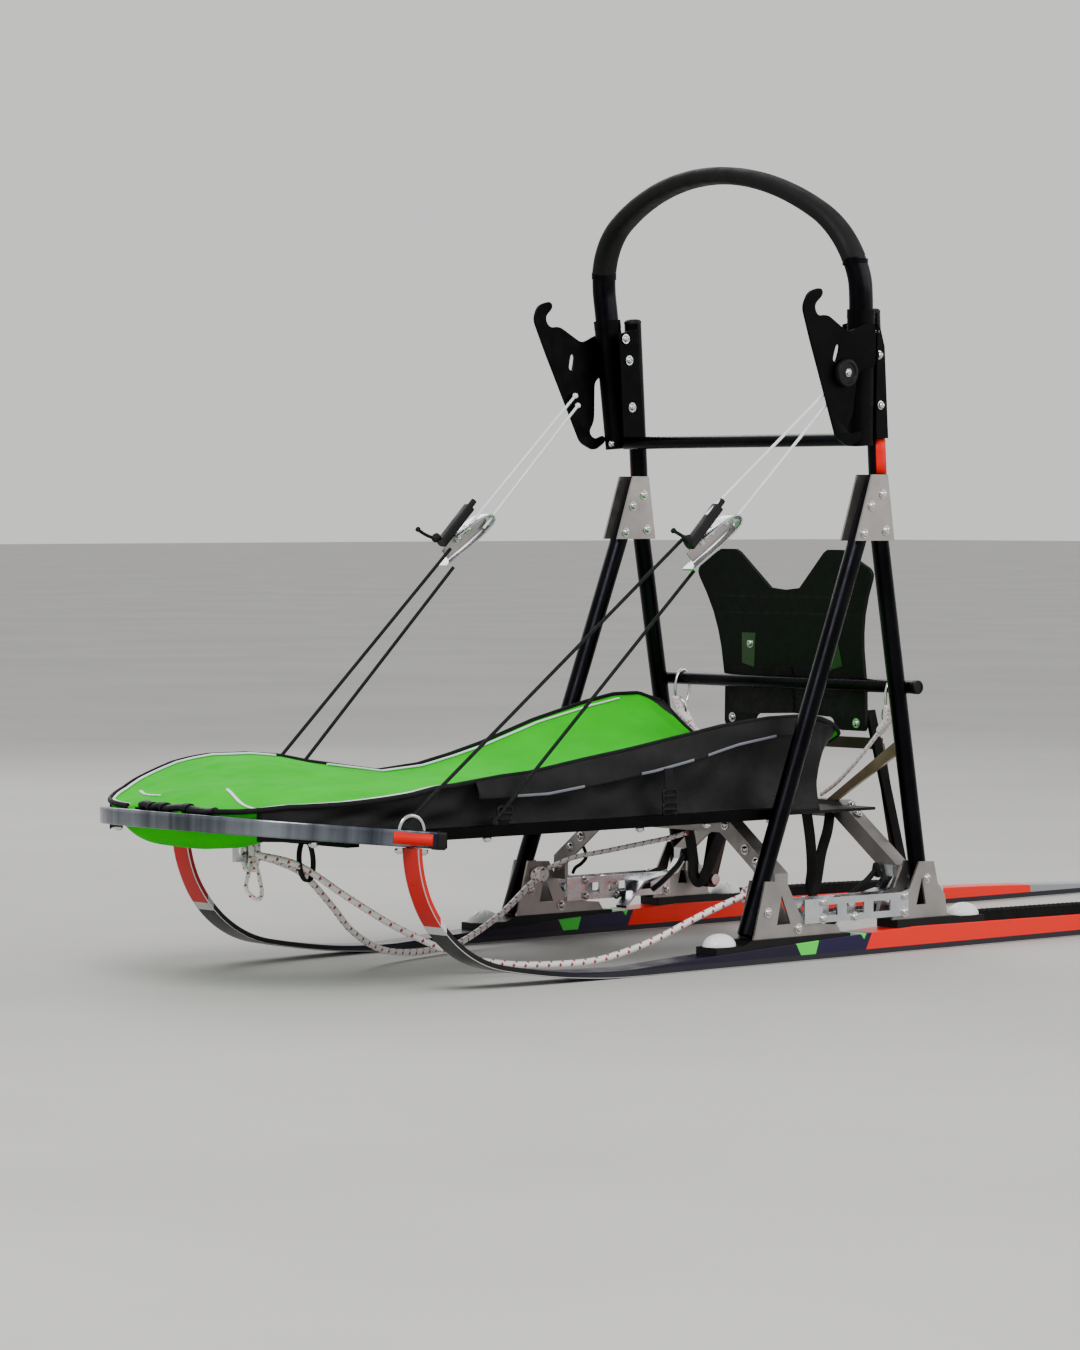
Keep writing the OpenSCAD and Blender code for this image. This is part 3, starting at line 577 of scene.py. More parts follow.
class Shell:
    """Gathers grids of points into one mesh piece."""

    def __init__(self) -> None:
        """Starts empty."""
        self.points: list[np.ndarray] = []
        self.faces: list[list[int]] = []
        self.uvs: list[np.ndarray] = []
        self.size = 0

    def grid(
        self, points: np.ndarray, rows_join: bool = False, cols_join: bool = True, caps: bool = True
    ) -> "Shell":
        """Adds a grid of four-sided faces; its UV map is the distance along and around, in metres.

        Args:
            points: (rows, cols, 3) grid in millimetres.
            rows_join: True where the last row joins the first.
            cols_join: True where the last column joins the first.
            caps: closes the first and last rows with one face each.

        Returns:
            This shell.
        """
        rows, cols = points.shape[:2]
        index = np.arange(rows * cols).reshape(rows, cols) + self.size
        a = index if rows_join else index[:-1]
        b = np.roll(index, -1, axis=0) if rows_join else index[1:]
        if cols_join:
            quads = np.stack([a, np.roll(a, -1, 1), np.roll(b, -1, 1), b], axis=-1)
        else:
            quads = np.stack([a[:, :-1], a[:, 1:], b[:, 1:], b[:, :-1]], axis=-1)
        long = np.concatenate([points, points[:1]]) if rows_join else points
        wide = np.concatenate([points, points[:, :1]], axis=1) if cols_join else points
        u = self.run(long[:, cols // 2])
        v = self.run(wide[rows // 2])
        uv = np.zeros((*quads.shape[:2], 4, 2))
        uv[:, :, 0:2, 0], uv[:, :, 2:4, 0] = u[:-1, None, None], u[1:, None, None]
        uv[:, :, (0, 3), 1], uv[:, :, (1, 2), 1] = v[None, :-1, None], v[None, 1:, None]
        self.faces += quads.reshape(-1, 4).tolist()
        self.uvs.append(uv.reshape(-1, 2))
        if caps and cols_join and not rows_join:
            self.faces += [index[0][::-1].tolist(), index[-1].tolist()]
            self.uvs.append(np.zeros((2 * cols, 2)))
        self.points.append(points.reshape(-1, 3))
        self.size += rows * cols
        return self

    @staticmethod
    def run(line: np.ndarray) -> np.ndarray:
        """Returns the distance run along a line of points, in metres."""
        steps = np.linalg.norm(np.diff(line, axis=0), axis=1)
        return np.concatenate([[0.0], np.cumsum(steps)]) / 1000.0

    def bar(self, start: Point, end: Point, profile: np.ndarray, up: Point = (0.0, 0.0, 1.0)) -> "Shell":
        """Adds a straight bar between two points."""
        return self.grid(carry(np.array([start, end], float), profile, up))

    def plate(self, outline: np.ndarray, thickness: Point) -> "Shell":
        """Adds a flat plate: an outline and its copy moved by thickness."""
        low = np.asarray(outline, float)
        return self.grid(np.stack([low, low + np.asarray(thickness, float)]))

    def pierced(self, outline: np.ndarray, hole: np.ndarray, thickness: Point) -> "Shell":
        """Adds a flat plate with one hole: both faces in triangles, and its rims.

        Args:
            outline: (n, 3) outer line.
            hole: (m, 3) line of the hole.
            thickness: move from one face to the other.

        Returns:
            This shell.
        """
        loops = [np.asarray(outline, float), np.asarray(hole, float)]
        flat = [[Vector(point) for point in loop] for loop in loops]
        triangles = np.array(tessellate_polygon(flat))
        low = np.concatenate(loops)
        for offset, order in ((np.zeros(3), 1), (np.asarray(thickness, float), -1)):
            self.faces += (triangles[:, ::order] + self.size).tolist()
            self.uvs.append(np.zeros((3 * len(triangles), 2)))
            self.points.append(low + offset)
            self.size += len(low)
        for loop in loops:
            self.grid(np.stack([loop, loop + np.asarray(thickness, float)]), caps=False)
        return self

    def turned(
        self, centres: np.ndarray, axes: np.ndarray, profile: np.ndarray, sides: int = 16
    ) -> "Shell":
        """Adds copies of a turned shape: radius and height pairs spun about each axis.

        A point is centre + radius * (cos a * U + sin a * V) + height * axis, with U and V square
        to the axis.

        Args:
            centres: (k, 3) foot of each copy.
            axes: (k, 3) direction in which each copy rises.
            profile: (r, 2) radius and height pairs from foot to top.
            sides: number of flats round it.

        Returns:
            This shell.
        """
        axes = np.asarray(axes, float) / np.linalg.norm(axes, axis=1, keepdims=True)
        away = np.where(np.abs(axes[:, 2:]) > 0.9, [[1.0, 0.0, 0.0]], [[0.0, 0.0, 1.0]])
        u = np.cross(away, axes)
        u /= np.linalg.norm(u, axis=1, keepdims=True)
        v = np.cross(axes, u)
        a = np.arange(sides) * 2 * np.pi / sides
        ring = np.cos(a)[None, :, None] * u[:, None] + np.sin(a)[None, :, None] * v[:, None]
        r, h = np.asarray(profile, float).T
        blocks = (
            np.asarray(centres, float)[:, None, None]
            + r[None, :, None, None] * ring[:, None]
            + h[None, :, None, None] * axes[:, None, None]
        )
        for block in blocks:
            self.grid(block)
        return self

    def strand(
        self, points: np.ndarray, half: float, splits: int = 5, count: int = 10, up: Point = (0.0, 0.0, 1.0)
    ) -> "Shell":
        """Adds a round line of radius half on a smooth curve through points."""
        return self.grid(carry(smooth_path(points, splits), section(half, half, count), up))

    def mesh(
        self,
        name: str,
        finish: Finish,
        slot: str,
        body: str = "sled",
        replaces: tuple[str, ...] = (),
        sharp: float = 38.0,
    ) -> bpy.types.Object:
        """Makes the piece, with its faces outwards, and lets it ride on its body.

        Args:
            name: the piece's name.
            finish: its finish.
            slot: not used.
            body: body that carries it.
            replaces: solid nodes that it stands for.
            sharp: edges that bend more than this many degrees stay crisp.

        Returns:
            The new object.
        """
        data = bpy.data.meshes.new(name)
        data.from_pydata(metres(np.concatenate(self.points)).tolist(), [], self.faces)
        layer = data.uv_layers.new(name="UVMap")
        layer.data.foreach_set("uv", np.concatenate(self.uvs).astype(np.float32).ravel())
        work = bmesh.new()
        work.from_mesh(data)
        bmesh.ops.remove_doubles(work, verts=work.verts, dist=1e-6)
        bmesh.ops.recalc_face_normals(work, faces=work.faces)
        work.to_mesh(data)
        work.free()
        data.shade_smooth()
        data.set_sharp_from_angle(angle=math.radians(sharp))
        data.materials.append(finish.build())
        piece = bpy.data.objects.new(name, data)
        bpy.context.scene.collection.objects.link(piece)
        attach(piece, body)
        if replaces:
            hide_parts(*replaces)
        LOG.info("%s: %d faces", name, len(data.polygons))
        return piece


def thicken(piece: bpy.types.Object, thickness_mm: float) -> bpy.types.Object:
    """Gives a sheet its thickness, half to each side."""
    wall = piece.modifiers.new("thickness", "SOLIDIFY")
    wall.thickness, wall.offset = thickness_mm / 1000.0, 0.0
    return piece


def soften(piece: bpy.types.Object, width_mm: float, segments: int = 2) -> bpy.types.Object:
    """Breaks the crisp edges of a piece with a small bevel."""
    edge = piece.modifiers.new("edges", "BEVEL")
    edge.width, edge.segments, edge.limit_method = width_mm / 1000.0, segments, "ANGLE"
    return piece


def dress(finish: Finish, *nodes: str) -> None:
    """Gives solid nodes their finish.

    Args:
        finish: the finish they all take.
        nodes: names of the nodes.
    """
    for name in nodes:
        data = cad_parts[name].data
        data.materials.clear()
        data.materials.append(finish.build())
        LOG.info("%s dressed in %s", name, finish.name)


# Turned shapes: (radius, height) pairs.
LINE_KNOT = np.array([(1, -4), (3.4, -2.6), (4.3, 0), (3.4, 2.6), (1, 4)])
ROPE_KNOT = np.array([(1, -6), (5, -5), (6.6, 0), (5, 5), (1, 6)])
BUTTON_HEAD = np.array([(7, 0), (7, 1.1), (5.2, 1.1), (5, 2.4), (4.2, 3.6), (3, 4.4), (2.2, 4.5), (1.9, 3)])
DOME_NUT = np.array([(6, 0), (6, 3.2), (4.8, 3.4), (4.6, 5.2), (3.4, 7.2), (1.6, 8.2), (0.4, 8.4)])
HEX_NUT = np.array([(5.6, 0), (6, 0.5), (6, 4.6), (5.6, 5.1), (3.3, 5.1), (3.3, 6.4), (2.6, 6.9)])


@dataclass
class Studio:
    """Floor, light and camera."""

    focal_mm: float = 121.07
    place: Point = (4447.4, 4628.9, 615.4)
    heading_deg: float = 138.45
    dip_deg: float = 2.102

    def build(self) -> None:
        """Makes the camera first, then the floor and the lights."""
        scene = bpy.context.scene
        camera = bpy.data.cameras.new("camera")
        camera.lens, camera.sensor_width, camera.clip_end = self.focal_mm, 36.0, 200.0
        eye = bpy.data.objects.new("camera", camera)
        scene.collection.objects.link(eye)
        turn, dip = math.radians(self.heading_deg), math.radians(self.dip_deg)
        look = Vector((-math.sin(turn) * math.cos(dip), math.cos(turn) * math.cos(dip), -math.sin(dip)))
        eye.location = Vector(metres(self.place))
        eye.rotation_mode = "QUATERNION"
        eye.rotation_quaternion = look.to_track_quat("-Z", "Y")
        scene.camera = eye
        self.floor()
        self.lights()

    def floor(self) -> None:
        """Lays a wide pale floor that runs to the horizon."""
        data = bpy.data.meshes.new("floor")
        corners = np.array([(-1, -1), (1, -1), (1, 1), (-1, 1)]) * 60.0
        data.from_pydata([(float(x), float(y), 0.0) for x, y in corners], [], [(0, 1, 2, 3)])
        paint = Finish("pale_floor", "#b9b8b5", "#b1b0ad", 0.8, spread_mm=900.0, grain_mm=12.0)
        data.materials.append(paint.build())
        floor = bpy.data.objects.new("floor", data)
        bpy.context.scene.collection.objects.link(floor)

    def lights(self) -> None:
        """Hangs three broad soft lights and an even grey surround."""
        world = bpy.data.worlds.new("surround")
        bpy.context.scene.world = world
        world.use_nodes = True
        world.node_tree.nodes["Background"].inputs["Color"].default_value = linear("#f4f4f2")
        world.node_tree.nodes["Background"].inputs["Strength"].default_value = 0.95
        rows = (
            ("key", (3.0, 2.6, 3.8), 2.4, 190.0),
            ("fill", (-3.2, 3.0, 2.2), 2.6, 60.0),
            ("rear", (-1.0, -3.6, 3.0), 3.0, 80.0),
        )
        for name, place, size, watts in rows:
            lamp = bpy.data.lights.new(name, "AREA")
            lamp.size, lamp.energy = size, watts
            holder = bpy.data.objects.new(name, lamp)
            holder.location = place
            aim = Vector((0.1, 0.0, 0.3)) - Vector(place)
            holder.rotation_mode = "QUATERNION"
            holder.rotation_quaternion = aim.to_track_quat("-Z", "Y")
            bpy.context.scene.collection.objects.link(holder)


@dataclass
class Bridle:
    """Slack tow rope in two halves, from the tow eye to the front feet."""

    diameter: float = 9.0
    left: tuple[Point, ...] = (
        (841, 3.3, 170), (840, 14, 168), (784, 26, 152), (714, 43, 106), (647, 64, 64), (565, 90, 26),
        (500, 112, 12), (430, 134, 9), (370, 152, 13), (302, 174, 33), (231, 196, 65), (170, 212, 88),
        (146, 220, 92), (141, 226, 92),
    )
    right: tuple[Point, ...] = (
        (841, -3.3, 170), (840, -14, 168), (784, -28, 156), (725, -42, 134), (665, -59, 90), (615, -75, 50),
        (548, -97, 20), (477, -118, 9), (420, -136, 8), (354, -157, 12), (252, -189, 43), (185, -208, 76),
        (146, -220, 92), (141, -226, 92),
    )
    thin: float = 5.6
    spare: tuple[Point, ...] = (
        (846, 10, 168), (862, 20, 150), (872, 26, 128), (862, 32, 114), (850, 30, 118), (848, 22, 142),
        (850, 12, 166),
    )
    yoke: tuple[Point, ...] = (
        (134, -221, 100), (132, -170, 118), (128, -100, 132), (126, -30, 146), (126, 30, 158), (125, 60, 166),
    )

    def build(self) -> None:
        round_rope = section(self.diameter / 2, self.diameter / 2, 12)
        for name, route in (("bridle_left", self.left), ("bridle_right", self.right)):
            path = smooth_path(np.array(route, float), 6)
            piece = Shell().grid(carry(path, round_rope)).mesh(
                name.replace("bridle", "bridle_rope"), ROPE, "line_white", replaces=(name,)
            )
        self.knots()

    def ring(self, centre: Point, reach: Point, over: Point, half: float) -> np.ndarray:
        """Returns a round loop of rope: centre + cos a * reach + sin a * over, as a grid."""
        a = (np.arange(28) * 2 * np.pi / 28)[:, None]
        path = np.asarray(centre) + np.cos(a) * np.asarray(reach) + np.sin(a) * np.asarray(over)
        up = tuple(np.cross(reach, over))
        return carry(path, section(half, half, 10), up, loop=True)

    def knots(self) -> None:
        """Ties a lark's head on the tow eye, a stopper at each foot, and a spare loop."""
        half = self.diameter / 2 - 0.4
        shell = Shell()
        for shift in (-4.5, 4.5):
            shell.grid(self.ring((845 + shift, 0, 170), (0, 8.5, 0), (0, 0, 21), half), rows_join=True)
        for side in SIDES:
            for k, tilt in enumerate((6.0, -6.0, 2.0)):
                centre = flip((150 + 5.0 * k, 217 - 2.0 * k, 92), side)
                shell.grid(self.ring(tuple(centre), (tilt, 7, 0), (0, 3, 8), half), rows_join=True)
        shell.mesh("bridle_knots", ROPE, "line_white")
        loop = Shell().strand(self.spare, self.thin / 2, 6, 8, (0, 1, 0))
        piece = loop.mesh("bridle_spare_loop", ROPE, "line_white")
        Shell().strand(self.yoke, 3.4).mesh("yoke_line", ROPE, "line_white")


@dataclass
class Runners:
    """Skis, their foot pads and the white toe caps."""

    width: float = 44.0
    edge: float = 1.2
    cap_half: tuple[float, float] = (25.0, 19.5)
    cap_rise: float = 17.0
    caps: tuple[tuple[float, float], ...] = ((238.0, 28.2), (-238.0, 43.2))
    camber: tuple[tuple[float, float], ...] = (
        (-1099, 12), (-800, 24), (-480, 31), (-110, 35), (290, 17), (420, 10), (520, 8),
    )

    def underside(self) -> np.ndarray:
        """Returns the (x, z) line of the underside: a flat, a wide arc, then a tight arc."""
        rise_x, rise_r, bend_x, tip_x = 400.0, 1273.0, 640.0, 778.7
        lift = math.asin((bend_x - rise_x) / rise_r)
        tip_r = (tip_x - bend_x) / (1 - math.sin(lift))
        centre = (bend_x - tip_r * math.sin(lift), rise_r - (rise_r - tip_r) * math.cos(lift))
        a, b = np.linspace(0, lift, 16), np.linspace(lift, math.radians(88.6), 40)[1:]
        flat = np.stack([np.linspace(-1098, rise_x, 24)[:-1], np.zeros(23)], axis=1)
        wide = np.stack([rise_x + rise_r * np.sin(a), rise_r - rise_r * np.cos(a)], axis=1)
        tight = np.stack([centre[0] + tip_r * np.sin(b), centre[1] - tip_r * np.cos(b)], axis=1)
        return np.concatenate([flat, wide, tight])

    def skis(self) -> None:
        """Presses the two skis: a thick middle, a thin front, and a tip that narrows as it rises.

        Each row is a chamfered box section square to the underside line; its width is
        44 - 13 min(z / 120, 1), and its thickness follows the camber table.
        """
        line = self.underside()
        step = np.gradient(line, axis=0)
        step /= np.linalg.norm(step, axis=1, keepdims=True)
        normal = np.stack([-step[:, 1], step[:, 0]], axis=1)
        thick = np.where(line[:, 0] < 520, table(self.camber, line[:, 0]), 8.0)
        half = self.width / 2 - 6.5 * np.clip(line[:, 1] / 120.0, 0, 1)
        cut = 1.0
        across = np.array([-1, 1, 1, 1, 1, -1, -1, -1], float)
        inset = np.array([cut, cut, 0, 0, cut, cut, 0, 0])
        level = np.array([0, 0, 0, 1, 1, 1, 1, 0], float)
        lift = np.array([0, 0, cut, -cut, 0, 0, -cut, cut])
        y = across[None] * (half[:, None] - inset[None])
        h = level[None] * thick[:, None] + lift[None]
        trim = self.edge * 0.55
        steel = Shell()
        for side, word in WORDS:
            x, z = (line[:, k, None] + h * normal[:, k, None] for k in (0, 1))
            grid = np.stack([x, TRACK_HALF * side + y, z], axis=-1)
            Shell().grid(grid).mesh(f"runner_{word}", RUNNER, "runner", replaces=(f"ski_{word}",), sharp=30)
            for offset in (-1, 1):
                path = line + 1.0 * normal
                edge_y = side * TRACK_HALF + offset * (half - trim + 0.3)
                rim = np.stack([path[:, 0], edge_y, path[:, 1]], axis=1)
                steel.grid(carry(rim, section(trim, 0.9, 8, 6.0), (0, 1, 0)))
        steel.mesh("runner_steel_edges", STEEL, "steel_fittings")

    def toe_caps(self) -> None:
        """Moulds the oval caps: height = rise * sqrt(1 - r^2), less a row of radial grooves."""
        r = np.concatenate([[1.0, 1.0], np.linspace(0.985, 0.03, 22)])[:, None]
        a = (np.arange(72) * 2 * np.pi / 72)[None, :]
        groove = np.exp(-((np.sin(4 * (a + 0.35)) / 0.22) ** 2))
        groove = groove * np.clip((r - 0.18) / 0.2, 0, 1) * (r < 0.95)
        shell = Shell()
        for side in SIDES:
            for x, z in self.caps:
                rise = self.cap_rise * np.sqrt(np.clip(1 - r**2, 0, 1)) * (1 - 0.13 * groove)
                rise[0] = -0.0
                rise[1:2] = 1.2
                rise = np.maximum(rise, np.where(np.arange(len(r))[:, None] > 0, 1.2, 0.0))
                grid = np.stack(
                    [
                        x + self.cap_half[0] * r * np.cos(a),
                        side * TRACK_HALF + self.cap_half[1] * r * np.sin(a),
                        z + rise + 0 * a,
                    ],
                    axis=-1,
                )
                shell.grid(grid)
        shell.mesh("toe_caps_moulded", WHITE_NYLON, "white_plastic", replaces=("toe_caps",), sharp=50)

    def build(self) -> None:
        """Dresses the solid runners and adds their trim."""
        dress(RUBBER, "foot_pads")
        dress(BLACK_NYLON, "toe_bases")
        self.skis()
        self.toe_caps()


@dataclass
class SideFrames:
    """Feet, ladder rails, legs, gussets and uprights, with their bolts."""

    leg_foot: tuple[float, float] = (148.0, 140.0)
    leg_slope: float = 0.398
    film_half: float = 12.75
    plate_face: float = 257.9
    rail_face: float = 261.1
    plate_bolts: tuple[tuple[float, float], ...] = (
        (162, 70), (104, 45), (-148, 100), (-58, 635), (-36, 619), (-22, 581), (-64, 585),
    )
    rail_bolts: tuple[tuple[float, float], ...] = ((60, 56), (60, 78), (-1, 55), (-100, 56), (-100, 78))
    spacers: tuple[tuple[float, float], ...] = (
        (-2, 75), (150, 58), (-148, 100), (60, 67), (-98, 67), (-178, 82),
    )

    def bolts(self) -> None:
        """Sets a button head on both faces of the plates at every bolt."""
        rows = [(x, self.plate_face, z) for x, z in self.plate_bolts]
        rows += [(x, self.rail_face, z) for x, z in self.rail_bolts]
        outer = np.array(rows, float)
        inner = outer * (1, -1, 1) + (0, 2 * TRACK_HALF, 0)
        shell = Shell()
        for side in SIDES:
            shell.turned(flip(outer, side), flip([(0, 1, 0)] * len(outer), side), BUTTON_HEAD)
            shell.turned(flip(inner, side), flip([(0, -1, 0)] * len(inner), side), BUTTON_HEAD)
        shell.mesh("frame_bolts", STEEL, "steel_fittings")

    def tubes_between(self) -> None:
        """Puts round spacers across each foot, between its two plates."""
        shell = Shell()
        for side in SIDES:
            for x, z in self.spacers:
                shell.bar((x, side * 229.6, z), (x, side * 254.4, z), section(6.5, 6.5, 20), (0, 0, 1))
        shell.mesh("foot_spacers", STEEL, "steel_fittings")

    def ends(self) -> None:
        """Plugs the open ends of the uprights and the lower crossbar."""
        plug = np.array([(12.6, 0), (12.9, 1.5), (12.6, 3.5), (10.5, 5.6), (6, 6.6), (1, 6.8)])
        small = np.array([(9.7, -8), (9.7, 0), (8.6, 1.2), (6.2, 1.4), (6.0, 0.4), (0.8, 0.4)])
        shell = Shell()
        for side in SIDES:
            top = flip([(upright_x(884), TRACK_HALF, 884)], side)
            shell.turned(top, [(UPRIGHT_SLOPE, 0, 1)], plug, 24)
            shell.turned(flip([(-125.2, 262, 367)], side), flip([(0, 1, 0)], side), small, 20)
        shell.mesh("tube_end_plugs", BLACK_NYLON, "black_plastic")
        tops = Shell()
        for side in SIDES:
            foot_x, foot_z = self.leg_foot
            ends = [(foot_x - self.leg_slope * (z - foot_z), TRACK_HALF, z) for z in (592, 655)]
            tops.bar(*(tuple(flip(end, side)) for end in ends), section(12.3, 12.3, 24))
        tops.mesh("front_leg_tops", BLACK_TUBE, "black_tube")

    def bands(self) -> None:
        """Wraps the plain red film round the outside of each upright, as a part turn."""
        a = np.radians(np.linspace(-85, 60, 22))[None, :]
        z = np.linspace(663, 711, 4)[:, None]
        shell = Shell()
        for side in SIDES:
            x = upright_x(z) - self.film_half * np.sin(a + math.radians(34))
            y = side * (TRACK_HALF + self.film_half * np.cos(a + math.radians(34)))
            shell.grid(np.stack([x, y + 0 * z, z + 0 * a], axis=-1), cols_join=False)
        thicken(shell.mesh("upright_red_film", STICKER_RED, "black_tube"), 0.3)

    def build(self) -> None:
        """Dresses the frames and adds their fittings."""
        sides = ("left", "right")
        dress(BLACK_TUBE, *(f"{part}_{s}" for part in ("front_leg", "rear_leg", "upright") for s in sides))
        dress(GREY_PLATE, "front_feet", "rear_feet", "gussets")
        dress(BARE_METAL, "ladder_rail_left", "ladder_rail_right")
        self.bolts()
        self.tubes_between()
        self.ends()
        self.bands()


@dataclass
class Handle:
    """Handle bow with its grip, sockets, brackets and hook plates."""

    base: Point = (-27.0, 245.0, 712.0)
    spring: tuple[float, float] = (260.0, 917.0)
    shoulder: float = 130.0
    rise: float = 168.0
    lean_deg: float = 11.0
    tube_half: tuple[float, float] = (11.7, 18.5)
    grip_half: tuple[float, float] = (12.1, 19.1)
    socket_half: tuple[float, float] = (13.0, 20.0)
    bracket: float = 3.4
    hook: tuple[tuple[float, float], ...] = (
        (94, 210), (118, 205), (129, 185), (113, 139), (80, 53), (61, 3), (36, -10), (12, 2), (15, 13),
        (33, 6), (44, 17), (31, 33), (23, 90), (10, 97), (-12, 97), (-12, 158), (11, 158), (41, 147),
        (82, 173), (101, 171), (108, 187), (90, 200),
    )

    def in_leg(self, points: np.ndarray, side: int) -> np.ndarray:
        """Carries points of a handle leg's own frame to the sled: a splay, then a lean.

        Args:
            points: (n, 3) points, z up the leg.
            side: 1 for left, -1 for right.

        Returns:
            (n, 3) points of the sled.
        """
        x, y, z = np.moveaxis(np.asarray(points, float), -1, 0)
        splay, lean = math.radians(4.185), math.radians(3.417)
        across, up = y * math.cos(splay) + z * math.sin(splay), z * math.cos(splay) - y * math.sin(splay)
        moved = [x * math.cos(lean) + up * math.sin(lean), across, up * math.cos(lean) - x * math.sin(lean)]
        return flip(np.stack(moved, axis=-1) + (self.foot_x(), self.base[1], self.base[2]), side)

    def hooks(self) -> None:
        """Cuts the hook plates with rounded corners and a slanting slot."""
        outline = rounded(np.array(self.hook, float), 9.0)
        slot = section(4.4, 12.0, 28, 3.2)
        turn = math.radians(18)
        c, s = math.cos(turn), math.sin(turn)
        slot = slot @ np.array([[c, s], [-s, c]]) + (64, 120)
        flat = [np.insert(loop, 1, 13.2, axis=1) for loop in (outline, slot)]
        for side, word in WORDS:
            outer, hole = (self.in_leg(loop, side) for loop in flat)
            rise = self.in_leg(np.array([(0.0, 4.0, 0.0)]), side) - self.in_leg(np.zeros((1, 3)), side)
            plate = Shell().pierced(outer, hole, tuple(rise[0]))
            stands_for = (f"hook_plate_{word}",)
            soften(plate.mesh(f"hook_{word}", BLACK_PLATE, "black_plate", replaces=stands_for), 0.5)

    def arch(self, from_deg: float = 0.0) -> np.ndarray:
        """Returns the arch line: a tight arc, a wide arc and a tight arc in a leaning plane.

        The wide arc's radius R makes the three arcs meet smoothly:
        R = (c^2 + h^2 - r^2) / (2 (h - r)), with c the half span less r, and h the rise.

        Args:
            from_deg: how far above its springing the line starts.

        Returns:
            (n, 3) points from right to left over the top.
        """
        half, z0 = self.spring
        c = half - self.shoulder
        crown = (c**2 + self.rise**2 - self.shoulder**2) / (2 * (self.rise - self.shoulder))
        meet = math.atan2(crown - self.rise, c)
        a = np.linspace(math.radians(from_deg), meet, 22)
        b = np.linspace(meet, math.pi / 2, 28)[1:]
        y = np.concatenate([c + self.shoulder * np.cos(a), crown * np.cos(b)])
        h = np.concatenate([self.shoulder * np.sin(a), self.rise - crown + crown * np.sin(b)])
        y, h = np.concatenate([-y, y[-2::-1]]), np.concatenate([h, h[-2::-1]])
        lean = math.radians(self.lean_deg)
        x0 = self.foot_x() + (z0 - self.base[2]) * UPRIGHT_SLOPE
        return np.stack([x0 + h * math.sin(lean), y, z0 + h * math.cos(lean)], axis=1)

    def foot_x(self) -> float:
        """Returns where the handle leg stands, clear in front of the upright."""
        return upright_x(self.base[2]) + TUBE_HALF + self.bracket + self.socket_half[1]

    def leg(self, side: int, low: float, high: float) -> np.ndarray:
        """Returns the straight line of one leg between two heights."""
        z = np.array([low, high])
        slope = (self.spring[0] - self.base[1]) / (self.spring[1] - self.base[2])
        x = self.foot_x() + (z - self.base[2]) * UPRIGHT_SLOPE
        y = self.base[1] + (z - self.base[2]) * slope
        return flip(np.stack([x, y, z], axis=1), side)

    def bow(self) -> None:
        """Bends the bare tube, slips the foam grip over it and caps the sockets."""
        arch = self.arch()
        legs = [resample(self.leg(s, 703, 900), 12) for s in SIDES]
        path = np.concatenate([legs[1], arch[2:-2], legs[0][::-1]])
        smooth = resample(smooth_path(resample(path, 40), 6), 150)
        shell = Shell().grid(carry(smooth, section(*self.tube_half, 24, 2.6), (1, 0, 0)))
        shell.mesh("handle_tube", BLACK_TUBE, "black_tube", replaces=("handle_bow",))
        grip = resample(self.arch(17.0), 140)
        swell = 1 + 0.018 * np.sin(np.linspace(0, 140 * np.pi, 140)) ** 2
        swell[[0, -1]] = 0.9
        grid = carry(grip, section(*self.grip_half, 28, 2.6), (1, 0, 0))
        grid = grip[:, None] + (grid - grip[:, None]) * swell[:, None, None]
        foam = Shell().grid(grid)
        foam.mesh("handle_grip_foam", GRIP_FOAM, "grip_foam", replaces=("handle_grip",), sharp=60)
        shell = Shell()
        for side in SIDES:
            body = self.leg(side, 702, 882)
            shell.grid(carry(resample(body, 6), section(*self.socket_half, 28, 3.2), (1, 0, 0)))
            collar = self.leg(side, 876, 888)
            shell.grid(carry(collar, section(13.6, 20.6, 28, 3.0), (1, 0, 0)))
            seam = self.arch(16.0)[0 if side < 0 else -1]
            ring = np.stack([seam - (0, 0, 5), seam + (0, 0, 5)])
            shell.grid(carry(ring, section(12.6, 19.6, 28, 2.6), (1, 0, 0)))
        shell.mesh("handle_sockets", BLACK_PLATE, "black_tube")

    def fittings(self) -> None:
        """Adds bracket bolts, the lock knob's ring and insert, and crossbar end screws."""
        shell, cheek = Shell(), Shell()
        flange = TRACK_HALF + TUBE_HALF + self.bracket
        for side in SIDES:
            spots = flip([(-39, flange, 858), (-47, flange, 826), (-50, flange, 757)], side)
            shell.turned(spots, flip([(0, 1, 0)] * 3, side), DOME_NUT)
            inner = flip([(-21, 225.8, 861), (-28, 225.8, 830), (-34, 225.8, 762)], side)
            shell.turned(inner, flip([(0, -1, 0)] * 3, side), BUTTON_HEAD)
            cheek.plate(
                flip([(-60, 226.2, 714), (-18, 226.2, 714), (-9, 226.2, 868), (-44, 226.2, 876)], side),
                (0, side * 2.8, 0),
            )
            shell.turned(flip([(-4.4, 238, 709)], side), [(1, 0, 0)], BUTTON_HEAD * 0.8)
        shell.mesh("handle_bolts", STEEL, "steel_fittings")
        soften(cheek.mesh("handle_inner_cheeks", BLACK_PLATE, "black_plate"), 0.5)
        knob, mark = Shell(), Shell()
        ring = np.array([(18.2, 0), (19.2, 1), (19.2, 7), (18, 8.6), (14.5, 8.8), (13.5, 7.2), (2, 7.2)])
        for side in SIDES:
            place = flip([(self.foot_x() + 48 + 88 * UPRIGHT_SLOPE, 268.6, 800)], side)
            knob.turned(place, flip([(0, 1, -0.073)], side), ring, 36)
            mark.turned(place + (0, side * 7.2, 0), flip([(0, 1, -0.073)], side), BUTTON_HEAD * 0.9, 6)
        knob.mesh("lock_knobs", BLACK_NYLON, "black_plastic")
        mark.mesh("lock_knob_screws", STEEL, "steel_fittings")

